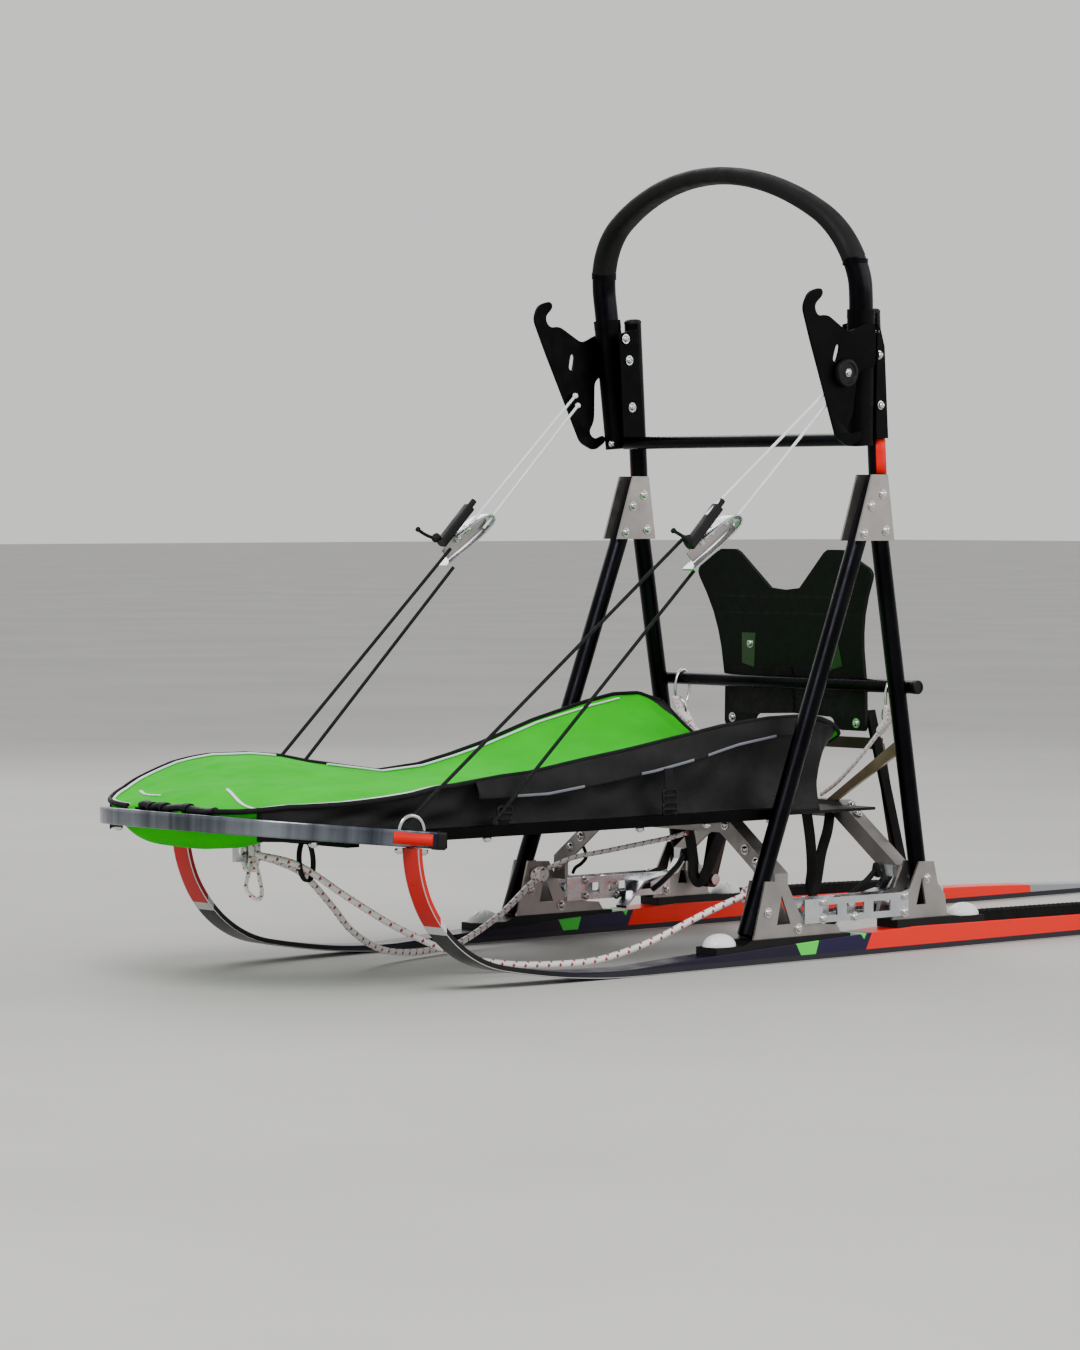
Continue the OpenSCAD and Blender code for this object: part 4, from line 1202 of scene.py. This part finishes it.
    def build(self) -> None:
        """Dresses the handle and adds its fittings."""
        dress(BLACK_PLATE, "handle_brackets")
        dress(BLACK_TUBE, "upper_crossbar", "lower_crossbar")
        self.bow()
        self.hooks()
        self.fittings()


@dataclass
class CrossFrame:
    """Arches, struts and braces, and the lines and straps slung between them."""

    rear_face: float = -123.2
    front_face: float = 118.2
    rear_nuts: tuple[tuple[float, float], ...] = ((100, 190), (150, 160), (172, 143), (205, 116))
    front_nuts: tuple[tuple[float, float], ...] = ((128, 180), (168, 148), (190, 132), (214, 104))
    hanger: tuple[Point, ...] = (
        (-117, 209, 318), (-121, 180, 292), (-126, 140, 258), (-131, 96, 226), (-135, 62, 208),
    )
    hanger_tail: tuple[Point, ...] = ((-118, 212, 330), (-122, 200, 312), (-120, 190, 299))
    hanger_knots: tuple[Point, ...] = ((-112, 216, 336), (-116, 210, 318), (-119, 196, 306))
    webbing: tuple[Point, ...] = (
        (-40, 128, 192), (-52, 124, 150), (-58, 121, 110), (-57, 119, 88), (-64, 116, 78), (-75, 113, 88),
        (-92, 106, 130), (-106, 104, 160), (-112, 103, 186),
    )
    return_cord: tuple[Point, ...] = (
        (-112, 196, 112), (-96, 192, 96), (-78, 190, 84), (-58, 188, 72), (-42, 190, 62),
    )
    return_knot: tuple[Point, ...] = (
        (-112, 194, 118), (-114, 190, 106), (-112, 200, 104), (-110, 196, 116),
    )
    tie: tuple[Point, ...] = (
        (108, 180, 140), (104, 172, 120), (100, 186, 108), (96, 204, 100), (92, 214, 92),
    )

    def bolts(self) -> None:
        """Puts nuts on the arches, the struts and the brace feet."""
        shell = Shell()
        for side in SIDES:
            rows = ((self.rear_face, self.rear_nuts, -1), (self.front_face, self.front_nuts, 1))
            for face, nuts, way in rows:
                spots = flip([(face, y, z) for y, z in nuts], side)
                shell.turned(spots, [(way, 0, 0)] * len(nuts), BUTTON_HEAD)
            top = flip([(-138, 122, 196.5), (-132, 138, 185.5)], side)
            shell.turned(top, flip([(0, 0.62, 0.78)] * 2, side), BUTTON_HEAD)
        shell.mesh("arch_bolts", STEEL, "steel_fittings")

    def hangers(self) -> None:
        """Hangs a carabiner on each end of the lower crossbar, with a thin line to the rear arch."""
        bars, lines = Shell(), Shell()
        a = (np.arange(36) * 2 * np.pi / 36)[:, None]
        for side in SIDES:
            for centre, reach, over in (
                ((-124, 214, 353), (14, 0, 3), (-3, 0, 26)),
                ((-118, 209, 326), (0, 8, 3), (3, 0, 12)),
            ):
                ring = np.asarray(centre) + np.cos(a) * np.array(reach) + np.sin(a) * np.array(over)
                path = flip(ring, side)
                up = tuple(np.cross(reach, over) * (1, side, 1))
                bars.grid(carry(path, section(2.4, 2.4, 10), up, loop=True), rows_join=True)
            lines.strand(flip(self.hanger, side), 3.0, 6)
            lines.strand(flip(self.hanger_tail, side), 4.4)
            along = smooth_path(flip(self.hanger_knots, side), 3)
            lines.turned(along, np.gradient(along, axis=0) + (0.2, 0.1, 0), ROPE_KNOT, 12)
        bars.mesh("carabiners", STEEL, "steel_fittings")
        lines.mesh("hanger_lines", THIN_ROPE, "line_white")

    def straps(self) -> None:
        """Lets loose webbing hang from the bed's tail, and ties the return cords down."""
        flat = section(10.0, 1.0, 12, 4.0)
        thick, thin = section(4.2, 4.2, 10), section(2.6, 2.6, 8)
        rows = (
            ("tail_webbing", self.webbing, flat, (0, 1, 0), WEBBING, "bag_black", 20.0),
            ("return_cord", self.return_cord, thick, (0, 0, 1), BLACK_CORD, "line_white", 8.4),
            ("arch_tie_cord", self.tie, thin, (1, 0, 0), BLACK_CORD, "line_white", 5.2),
        )
        knots = Shell()
        for side, word in WORDS:
            for name, line, profile, up, finish, slot, width in rows:
                path = smooth_path(flip(line, side), 6)
                piece = Shell().grid(carry(path, profile, up)).mesh(f"{name}_{word}", finish, slot)
            knots.strand(flip(self.return_knot, side), 4.6, up=(1, 0, 0))
        knots.mesh("return_cord_knots", BLACK_CORD, "line_white")

    def build(self) -> None:
        """Dresses the cross frame and hangs its lines."""
        dress(GREY_PLATE, "front_arch", "rear_arch")
        dress(TAN_PLATE, "arch_struts")
        dress(BARE_METAL, "arch_braces")
        self.bolts()
        self.hangers()
        self.straps()


@dataclass
class Bed:
    """Rails, plate, front bow and tow bar."""

    start: float = 740.0
    reach: float = 272.3
    half: float = 250.0
    power: float = 2.45
    band: tuple[float, float] = (6.0, 11.0)
    foot_z: float = 184.0
    tilt_deg: float = 5.7

    def bow_line(self, inset: float, count: int = 161) -> np.ndarray:
        """Returns the bow's plan: x = a cos^(2/n) t and y = b sin^(2/n) t, tilted about its foot."""
        t = np.linspace(-math.pi / 2, math.pi / 2, count)
        c, s = np.clip(np.cos(t), 0, 1), np.sin(t)
        x = (self.reach - inset) * c ** (2 / self.power)
        y = (self.half - inset) * np.sign(s) * np.abs(s) ** (2 / self.power)
        tilt = math.radians(self.tilt_deg)
        rise = self.band[1]
        return np.stack(
            [
                self.start + x * math.cos(tilt) - rise * math.sin(tilt),
                y,
                self.foot_z + x * math.sin(tilt) + rise * math.cos(tilt),
            ],
            axis=1,
        )

    def bow(self) -> None:
        """Bends the rounded band round the nose, and caps its ends."""
        line = resample(self.bow_line(self.band[0]), 220)
        shell = Shell().grid(carry(line, section(self.band[0], self.band[1], 24, 7.0)))
        soften(shell.mesh("front_bow_band", BOW_PAINTED_REFLECTIONS, "black_gloss", replaces=("front_bow",)), 0.4)
        film = Shell()
        for side in SIDES:
            outer = resample(self.bow_line(-0.25), 400)
            part = outer[-34:-4] if side > 0 else outer[4:34]
            z = np.array([-7.5, 7.5])[None, :, None] * np.array([-math.sin(0.0995), 0, math.cos(0.0995)])
            film.grid(part[:, None] + z, cols_join=False)
        thicken(film.mesh("bow_red_film", STICKER_RED, "black_gloss"), 0.3)
        ends = Shell()
        for side in SIDES:
            low = flip([(725, 244, 183.0), (740, 244, 184.3)], side)
            ends.grid(carry(low + (0, 0, 10.6), section(6.9, 11.9, 20, 6.0)))
        soften(ends.mesh("bow_end_caps", BLACK_NYLON, "black_plastic"), 0.8)

    def fittings(self) -> None:
        """Adds the bow's U-bolts, the nuts below it and those below the rails."""
        a = np.linspace(0, math.pi, 24)[:, None]
        wire, nuts = Shell(), Shell()
        for side in SIDES:
            path = np.array([777, 243, 209]) + np.cos(a) * (20, 0, 2) + np.sin(a) * (0, 2, 19)
            foot = np.array([(797, 243, 196), (757, 243, 192)], float)
            path = np.concatenate([foot[:1], path, foot[1:]])
            line = resample(smooth_path(flip(path, side), 4), 60)
            wire.grid(carry(line, section(2.6, 2.6, 12), (0, 1, 0)))
            under = flip([(797, 243, 187.6), (757, 243, 183.6), (905, 205, 198.4)], side)
            nuts.turned(under, [(0, 0, -1)] * 3, HEX_NUT, 6)
            rail = flip([(630, 219, 192.9), (362, 219, 192.9), (240, 219, 192.9), (120, 219, 192.9)], side)
            nuts.turned(rail, [(0, 0, -1)] * 4, HEX_NUT, 6)
            post = flip([(104, 224, 214)], side)
            nuts.turned(post, flip([(0, 1, 0)], side), DOME_NUT)
        wire.mesh("bow_u_bolts", STEEL, "steel_fittings")
        nuts.mesh("bed_nuts", STEEL, "steel_fittings")
        b = (np.arange(40) * 2 * np.pi / 40)[:, None]
        loop = np.array([772, 24, 158]) + np.cos(b) * (14, 3, 0) + np.sin(b) * (2, 0, 27)
        sling = Shell().grid(carry(loop, section(1.2, 5.0, 10, 4.0), (0, 1, 0), loop=True), rows_join=True)
        sling.mesh("rope_keeper_strap", WEBBING, "bag_black")

    def build(self) -> None:
        """Dresses the bed and adds the bow."""
        dress(BLACK_PLATE, "bed_rail_left", "bed_rail_right", "tow_crossbar")
        dress(BLACK_NYLON, "bed_plate")
        dress(BARE_METAL, "tow_eye")
        self.bow()
        self.fittings()


@dataclass
class CargoBag:
    """Empty cloth bag: a green top slung between two side walls, and a green nose sling."""

    near_seam: tuple[tuple[float, float], ...] = (
        (996, 233), (967, 235), (929, 241), (864, 244), (815, 248), (754, 254), (672, 259), (595, 267),
        (546, 270), (453, 283), (368, 294), (260, 310), (201, 319), (110, 327), (49, 328), (10, 324),
        (-20, 316), (-52, 300),
    )
    far_seam: tuple[tuple[float, float], ...] = (
        (996, 234), (943, 237), (900, 245), (867, 255), (829, 265), (795, 274), (742, 283), (694, 284),
        (636, 279), (585, 269), (521, 260), (464, 252), (391, 258), (332, 270), (274, 284), (177, 313),
        (75, 336), (23, 345), (-20, 346), (-52, 334),
    )
    sag: tuple[tuple[float, float], ...] = (
        (-52, 62), (60, 62), (200, 50), (400, 26), (560, 14), (700, 2), (850, -10), (940, -8), (996, 0),
    )
    bottom: tuple[tuple[float, float], ...] = (
        (880, 202), (896, 190), (925, 183), (955, 183), (978, 192), (996, 212),
    )
    flap_low: tuple[tuple[float, float], ...] = (
        (640, 240), (520, 240), (408, 253), (332, 262), (241, 278), (174, 293), (103, 303), (40, 306),
    )
    rear_x: float = -52.0
    nose_x: float = 996.0
    split_x: float = 880.0
    wall_x: float = 955.0
    corner_mm: float = 52.0
    bed_z: float = 198.5

    def half_width(self, x: np.ndarray) -> np.ndarray:
        """Returns the half width: straight beside the rails, then the inside of the bow."""
        inside = 235.0 * np.clip(1 - np.clip((x - 740.0) / 258.0, 0, 1) ** 2.45, 0, 1) ** (1 / 2.45)
        blend = np.clip((x - 690.0) / 90.0, 0, 1)
        blend = blend * blend * (3 - 2 * blend)
        rear = np.clip((x - self.rear_x) / 60.0, 0, 1)
        return (204.0 * (1 - blend) + inside * blend) * (0.86 + 0.14 * np.sqrt(rear))

    def creases(self, x: np.ndarray, t: np.ndarray) -> np.ndarray:
        """Returns soft slanting folds: three crossing sine waves, faded out at both seams."""
        folds = 2.2 * np.sin(x / 46.0 + 2.4 * t) + 1.6 * np.sin(x / 71.0 - 3.6 * t + 1.0)
        folds += 1.3 * np.sin(x / 29.0 + 5.0 * t + 2.0) * np.clip((x - 40) / 300, 0.2, 1)
        return folds * (1 - t**4)

    def top_point(self, x: np.ndarray, t: np.ndarray) -> np.ndarray:
        """Height of the top: the two seams joined straight across, less the sag (1 - t^2)."""
        near, far = table(self.near_seam, x), table(self.far_seam, x)
        level = far + (near - far) * (t + 1) / 2
        z = level - table(self.sag, x) * (1 - t**2) + self.creases(x, t)
        return np.stack(np.broadcast_arrays(x, self.half_width(x) * t, z), axis=-1)

    def top(self) -> None:
        """Sews the green top."""
        x = np.linspace(self.nose_x, self.rear_x, 190)[:, None]
        t = np.linspace(-1, 1, 81)[None, :]
        grid = self.top_point(x, t)
        shell = Shell().grid(grid, cols_join=False)
        piece = thicken(shell.mesh("bag_top", GREEN_CLOTH, "bag_green", replaces=("bag_cover",)), 1.4)

    def wall(self) -> None:
        """Sews the black wall round the sides and tail.

        The plan runs along one side, round the tail and back; the height goes from the bed to
        the seam, and the cloth bellies out by a half sine and gathers in folds.
        """
        bend = self.corner_mm
        side_x = np.linspace(self.wall_x, self.rear_x + bend, 190)
        turn = np.radians(np.linspace(0, 90, 18))[1:]
        corner = np.stack([self.rear_x + bend - bend * np.sin(turn), -bend * (1 - np.cos(turn))], axis=1)
        near = np.stack([side_x, self.half_width(side_x)], axis=1)
        near = np.concatenate([near, corner + (0, near[-1, 1])])
        tail_y = np.linspace(near[-1, 1], -near[-1, 1], 52)[1:-1]
        tail = np.stack([np.full(50, self.rear_x), tail_y], axis=1)
        plan = np.concatenate([near, tail, (near * (1, -1))[::-1]])
        x, y = plan[:, :1], plan[:, 1:]
        share = np.clip(y / 170.0, -1, 1)
        far, near_z = table(self.far_seam, x), table(self.near_seam, x)
        seam = far + (near_z - far) * (share + 1) / 2
        seam = seam - np.where(x < self.rear_x + 30, table(self.sag, x) * (1 - share**2), 0.0)
        s = np.linspace(0, 1, 26)[None, :]
        length = Shell.run(np.concatenate([plan, 0 * x], axis=1))[:, None] * 1000.0
        belly = 7.0 * np.sin(np.pi * s) + 3.4 * np.sin(length / 37.0 + 6 * s) * np.sin(np.pi * s)
        belly += 2.6 * np.sin(length / 21.0 - 8 * s + 2 * np.sin(length / 130.0)) * np.sin(np.pi * s) ** 2
        belly *= np.clip((960.0 - x) / 120.0, 0, 1)
        normal = np.stack([np.gradient(plan[:, 1]), -np.gradient(plan[:, 0])], axis=1)
        normal /= -np.linalg.norm(normal, axis=1, keepdims=True)
        tuck = np.clip((self.rear_x + 60 - x) / 60.0, 0, 1) * 92.0 * (1 - s) ** 1.15
        z = self.bed_z + (seam - self.bed_z) * s
        grid = np.stack([x + normal[:, :1] * belly + tuck, y + normal[:, 1:] * belly, z], axis=-1)
        piece = Shell().grid(grid, cols_join=False)
        wall = thicken(piece.mesh("bag_wall", BLACK_CLOTH, "bag_black", replaces=("sled_bag",)), 1.6)

    def sling(self) -> None:
        """Sews the green nose below the bow: bottom + (seam - bottom) |t|^3.4."""
        t = np.linspace(-1, 1, 61)[None, :]
        split = self.split_x + (self.wall_x - self.split_x) * np.abs(t) ** 1.5
        x = self.nose_x + (split - self.nose_x) * np.linspace(0, 1, 60)[:, None]
        low = table(self.bottom, x)
        seam = np.where(t > 0, table(self.near_seam, x), table(self.far_seam, x))
        z = low + (seam - low) * np.abs(t) ** 3.4 + 0.35 * self.creases(x, t)
        grid = np.stack(np.broadcast_arrays(x, self.half_width(x) * t, z), axis=-1)
        piece = Shell().grid(grid, cols_join=False).mesh("bag_nose_sling", GREEN_CLOTH, "bag_green")
        thicken(piece, 1.4)

    def seam_line(self, side: int, first: float, last: float, inset: float, lift: float) -> np.ndarray:
        """Returns a line along one seam, moved inwards by inset and up by lift."""
        x = np.linspace(first, last, 160)
        half = self.half_width(x)
        t = side * (1 - inset / np.maximum(half, 1.0))
        return self.top_point(x, t) + (0, 0, lift)

    def trims(self) -> None:
        """Runs black binding and white piping along the seams, and the accents on the nose."""
        black, white = Shell(), Shell()
        for side in SIDES:
            edge = self.seam_line(side, self.nose_x - 2, self.rear_x + 2, -1.0, 1.0)
            black.grid(carry(edge, section(2.6, 3.6, 12)))
        white.grid(carry(self.seam_line(-1, self.nose_x - 4, 650, 9.0, 2.6), section(2.0, 1.6, 10)))
        white.grid(carry(self.seam_line(-1, 560, 20, 9.0, 2.6), section(2.0, 1.6, 10)))
        white.grid(carry(self.seam_line(1, 950, 640, 7.0, 2.2), section(1.7, 1.4, 10)))
        t = np.linspace(-1, 1, 80)
        tail = self.top_point(np.full(80, self.rear_x + 1), t) + (0, 0, 1.0)
        black.grid(carry(tail, section(2.6, 3.4, 12)))
        for first, last in ((-0.78, -0.33), (0.15, 0.96)):
            k = np.linspace(0, 1, 40)
            arc = self.top_point(905 + 46 * np.sin(np.pi * k / 2), first + (last - first) * k) + (0, 0, 1.4)
            white.grid(carry(arc, section(2.4, 1.2, 10)))
        black.mesh("bag_binding", WEBBING, "bag_black")
        white.mesh("bag_piping", PIPING, "line_white")

    def flaps(self) -> None:
        """Sews the zip flap below each seam, with its grey tape, and the closing straps."""
        x = np.linspace(640, 40, 110)[:, None]
        s = np.linspace(0, 1, 14)[None, :]
        tape, strap = Shell(), Shell()
        for side, word in WORDS:
            high = table(self.near_seam if side > 0 else self.far_seam, x)
            drop = table(self.near_seam, x) - table(self.flap_low, x)
            out = self.half_width(x) + 2.5 + 7.2 * np.sin(np.pi * (0.12 + 0.42 * s))
            out = out + 1.2 * np.sin(x / 27 + 4 * s)
            grid = np.stack(np.broadcast_arrays(x, side * out, high + 1 - drop * s), axis=-1)
            flap = Shell().grid(grid, cols_join=False)
            piece = flap.mesh(f"bag_zip_flap_{word}", BLACK_CLOTH, "bag_black")
            thicken(piece, 1.4)
            for first, last in ((12, 34), (52, 70), (74, 98)):
                edge = grid[first:last, -2] + (0, side * 1.4, 0)
                tape.grid(carry(edge, section(0.7, 1.9, 8)))
            for station in (308.0, 600.0):
                z = np.linspace(high[np.argmin(np.abs(x - station)), 0] - 34, 200, 14)
                y = side * (216.5 + 2.2 * np.sin(np.linspace(0, np.pi, 14)))
                path = np.stack([np.full(14, station), y, z], axis=1)
                strap.grid(carry(path, section(1.0, 8.0, 12, 4.0), (1, 0, 0)))
        tape.mesh("bag_flap_tape", GREY_TRIM, "bag_black")
        strap.mesh("bag_straps", WEBBING, "bag_black")
        buckle = Shell()
        for side in SIDES:
            for station, z in ((308.0, 232.0), (308.0, 214.0), (600.0, 222.0)):
                a = (np.arange(24) * 2 * np.pi / 24)[:, None]
                loop = section(12.0, 8.5, 24, 5.0)
                path = np.stack([station + loop[:, 0], np.full(24, side * 219.4), z + loop[:, 1]], axis=1)
                buckle.grid(carry(path + 0 * a, section(1.8, 1.8, 8), (0, 1, 0), loop=True), rows_join=True)
                ends = [(station + half, side * 219.4, z) for half in (-11, 11)]
                buckle.bar(*ends, section(1.8, 2.2, 8))
        buckle.mesh("bag_buckles", BLACK_NYLON, "black_plastic")

    def nose_tie(self) -> None:
        """Rolls the black binding thicker where it is tied to the bow at the nose."""
        t = np.linspace(-0.5, 0.95, 90)
        x = 994.0 - 26.0 * np.clip(t - 0.35, 0, 1) ** 1.4
        line = self.top_point(x, t) + np.stack([0 * t, 0 * t, 2.5 + 1.5 * np.sin(13 * t)], axis=1)
        roll = Shell().grid(carry(line, section(8.0, 5.0, 14)))
        for k in (20, 46, 70):
            roll.grid(carry(line[k : k + 4], section(10.0, 7.0, 14)))
        roll.mesh("bag_nose_roll", BLACK_CLOTH, "bag_black")

    def build(self) -> None:
        """Sews all panels and trims."""
        self.top()
        self.wall()
        self.sling()
        self.trims()
        self.flaps()
        self.nose_tie()


@dataclass
class Stays:
    """Tensioned lines from the hook plates to the bow and bed, with their blocks."""

    upper: tuple[Point, Point] = ((48, 258, 778), (790, 243, 216))
    lower: tuple[Point, Point] = ((44, 257, 764), (618, 219.5, 212))
    cuts: tuple[tuple[float, float], tuple[float, float]] = ((0.285, 0.385), (0.300, 0.450))
    upper_right: tuple[Point, Point] = ((48, 258, 778), (693, 219.5, 212))
    lower_right: tuple[Point, Point] = ((44, 257, 764), (640, 219.5, 212))
    cuts_right: tuple[tuple[float, float], tuple[float, float]] = ((0.309, 0.418), (0.300, 0.450))
    feet: tuple[Point, Point] = ((790, 243, 211.5), (618, 219.5, 207.4))
    feet_right: tuple[Point, Point] = ((693, 219.5, 207.4), (640, 219.5, 207.4))
    strap: tuple[tuple[float, float], ...] = (
        (306, 534), (290, 545), (262, 562), (236, 580), (222, 591), (216, 598), (219, 605), (228, 606),
        (242, 601), (262, 590), (286, 575),
    )
    web: tuple[Point, ...] = (
        (228, 250, 605), (222, 250, 592), (258, 250, 568), (296, 250, 544), (308, 250, 556), (290, 250, 574),
    )

    @staticmethod
    def at(line: tuple[Point, Point], share: float) -> np.ndarray:
        """Returns the point at a share of a line's length."""
        a, b = np.array(line, float)
        return a + (b - a) * share

    def lines(self) -> None:
        """Strings thin white line above each block and black cord below it."""
        for side, word in WORDS:
            white, black = Shell(), Shell()
            routes = (self.upper, self.lower) if side > 0 else (self.upper_right, self.lower_right)
            for line, cut in zip(routes, self.cuts if side > 0 else self.cuts_right):
                ends = [self.at(line, k) for k in (0.0, cut[0] + 0.02)]
                white.grid(carry(flip(resample(np.array(ends), 12), side), section(2.0, 2.0, 10)))
                white.turned(flip([ends[0]], side), [(0, 0, 1)], LINE_KNOT)
                ends = [self.at(line, k) for k in (cut[1] - 0.03, 1.0)]
                black.grid(carry(flip(resample(np.array(ends), 12), side), section(2.5, 2.5, 12)))
            eye = np.array([(6, 0), (6, 2), (4.4, 3), (4, 6), (2.8, 9), (1, 10)])
            black.turned(flip(self.feet if side > 0 else self.feet_right, side), [(0, 0, 1)] * 2, eye)
            white.mesh(f"stay_white_line_{word}", WHITE_LINE, "line_white", replaces=(f"stay_{word}",))
            black.mesh(f"stay_shock_cord_{word}", BLACK_CORD, "line_white")

    def blocks(self) -> None:
        """Bends the silver U-strap round each block, with its clamp, bolts and knot tail."""
        path = np.insert(np.array(self.strap, float), 1, 252.0, axis=1)
        silver, plate, clamp, bolts, tail = Shell(), Shell(), Shell(), Shell(), Shell()
        for side in SIDES:
            line = resample(smooth_path(flip(path, side), 6), 60)
            silver.grid(carry(line, section(1.5, 12.0, 12, 6.0), (0, 1, 0)))
            plate.plate(flip(self.web, side), (0, side * 2.0, 0))
            a, b = np.array([(254, 254, 617), (306, 254, 566)], float)
            clamp.bar(tuple(flip(a, side)), tuple(flip(b, side)), section(8.0, 6.5, 20, 4.0))
            clamp.bar(tuple(flip(a + (-9, 0, 9), side)), tuple(flip(a, side)), section(4.5, 4.5, 12))
            spots = flip([(280, 252.2, 573), (262, 252.2, 586), (236, 252.2, 599)], side)
            bolts.turned(spots, flip([(0, 1, 0)] * 3, side), BUTTON_HEAD * 0.85)
            inner = flip([(280, 249.8, 573), (262, 249.8, 586)], side)
            bolts.turned(inner, flip([(0, -1, 0)] * 2, side), DOME_NUT * 0.9)
            knot = [(306, 256, 572), (318, 262, 575), (330, 264, 580), (342, 262, 586)]
            tail.strand(flip(knot, side), 2.4)
            knob = np.array([(1, -7), (5, -5), (6.5, 0), (5, 5), (1, 7)])
            tail.turned(flip([(312, 258, 574)], side), [(0.8, 0, -0.6)], knob)
            tail.turned(flip([(342, 262, 586)], side), [(0.8, 0, -0.6)], knob * 0.55)
        straps = silver.mesh("stay_block_straps", BARE_METAL, "steel_fittings", replaces=("stay_blocks",))
        soften(straps, 0.3)
        soften(plate.mesh("stay_block_webs", GREY_PLATE, "steel_fittings"), 0.3)
        clamp.mesh("stay_block_clamps", BLACK_NYLON, "black_plastic")
        bolts.mesh("stay_block_bolts", STEEL, "steel_fittings")
        tail.mesh("stay_block_knots", BLACK_CORD, "line_white")

    def build(self) -> None:
        """Strings the lines and fits the blocks."""
        self.lines()
        self.blocks()


@dataclass
class SwingGear:
    """Drag mat with its arms, and the claw brake."""

    mat_x: float = -147.5
    thickness: float = 6.0
    bend_z: float = 365.0
    lean_deg: float = 8.0
    outline: tuple[tuple[float, float], ...] = (
        (122, 557), (130, 554), (172, 531), (176, 524), (174, 516), (162, 492), (152, 466), (146, 440),
        (143, 415), (142, 360), (143, 306), (140, 302),
    )

    def bend(self, points: np.ndarray) -> np.ndarray:
        """Leans points above the bend forward: x grows by (z - bend_z) tan lean."""
        rise = np.clip(points[..., 2] - self.bend_z, 0, None) * math.tan(math.radians(self.lean_deg))
        return points + np.stack([rise, 0 * rise, 0 * rise], axis=-1)

    def mat(self) -> None:
        """Cuts the belt mat row by row, raises its drive lugs behind, and bolts it up.

        Each row of the sheet runs from the outline's inner to its outer edge at one height, so
        the sheet can follow the bend.
        """
        half = np.array(self.outline, float)
        z = np.concatenate([np.linspace(301, 556, 86), [557.0]])
        wide = half[::-1]
        outer = np.interp(z, wide[:, 1], wide[:, 0])
        notch = np.interp(z, [500, 502, 553, 557], [24, 30, 86, 94])
        inner = np.where(z > 500, notch, np.interp(z, [301, 303, 318, 321], [96, 86, 78, 66]))
        inner = np.where((z > 321) & (z <= 500), 0.0, inner)
        shell = Shell()
        for side in SIDES:
            for low, high in ((0, 7), (6, 68), (67, 87)):
                rows = slice(low, high)
                edge = np.array([(0.0, 0.0), (0.0, 1.0), (1.0, 1.0), (1.0, 0.0)])
                y = inner[rows, None] + (outer - inner)[rows, None] * edge[None, :, 1]
                x = self.mat_x + self.thickness * edge[None, :, 0] + 0 * y
                block = np.stack([x, side * y, z[rows, None] + 0 * y], axis=-1)
                shell.grid(self.bend(block))
        shell.mesh("drag_mat_belt", MAT_RUBBER, "mat_rubber", "drag", replaces=("drag_mat",))
        lugs = Shell()
        for height in range(342, 500, 40):
            for y in (-92, 0, 92):
                bar = np.array([(self.mat_x - 1, y - 34, height), (self.mat_x - 1, y + 34, height)], float)
                lugs.grid(carry(self.bend(bar), section(4.2, 6.0, 16, 4.0)))
        lugs.mesh("drag_mat_lugs", RUBBER, "mat_rubber", "drag")
        bolts = Shell()
        spots = [(self.mat_x + 6.0, s * y, z) for s in SIDES for y, z in ((81, 421), (126, 312))]
        bolts.turned(self.bend(np.array(spots)), [(1, 0, 0)] * 4, BUTTON_HEAD)
        bolts.mesh("drag_mat_bolts", STEEL, "steel_fittings", "drag")
        pad = Shell()
        for side in SIDES:
            outline = self.bend(
                flip([(-141.4, 68, 436), (-141.4, 96, 436), (-141.4, 102, 392), (-141.4, 78, 386)], side)
            )
            pad.plate(outline, (0.5, 0, 0))
        green = Finish("green_tinted_plate", "#0c2a08", "#123a0c", 0.35, grain_mm=4.0)
        pad.mesh("drag_mat_plates", green, "mat_rubber", "drag")

    def build(self) -> None:
        """Dresses the arms and brake, and adds the mat."""
        dress(BLACK_PLATE, "drag_arms")
        dress(DARK_TAN, "brake_frame")
        dress(STEEL, "hinge_pins")
        self.mat()


def main() -> None:
    """Builds the studio, the cords and then every sub-assembly in order."""
    logging.basicConfig(level=logging.INFO, format="%(name)s: %(message)s")
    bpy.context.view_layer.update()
    for kind in (Studio, Bridle, Runners, SideFrames, Handle, CrossFrame, Bed, CargoBag, Stays, SwingGear):
        part = kind()
        LOG.info("building %s", type(part).__name__)
        part.build()


if __name__ == "__main__":
    main()
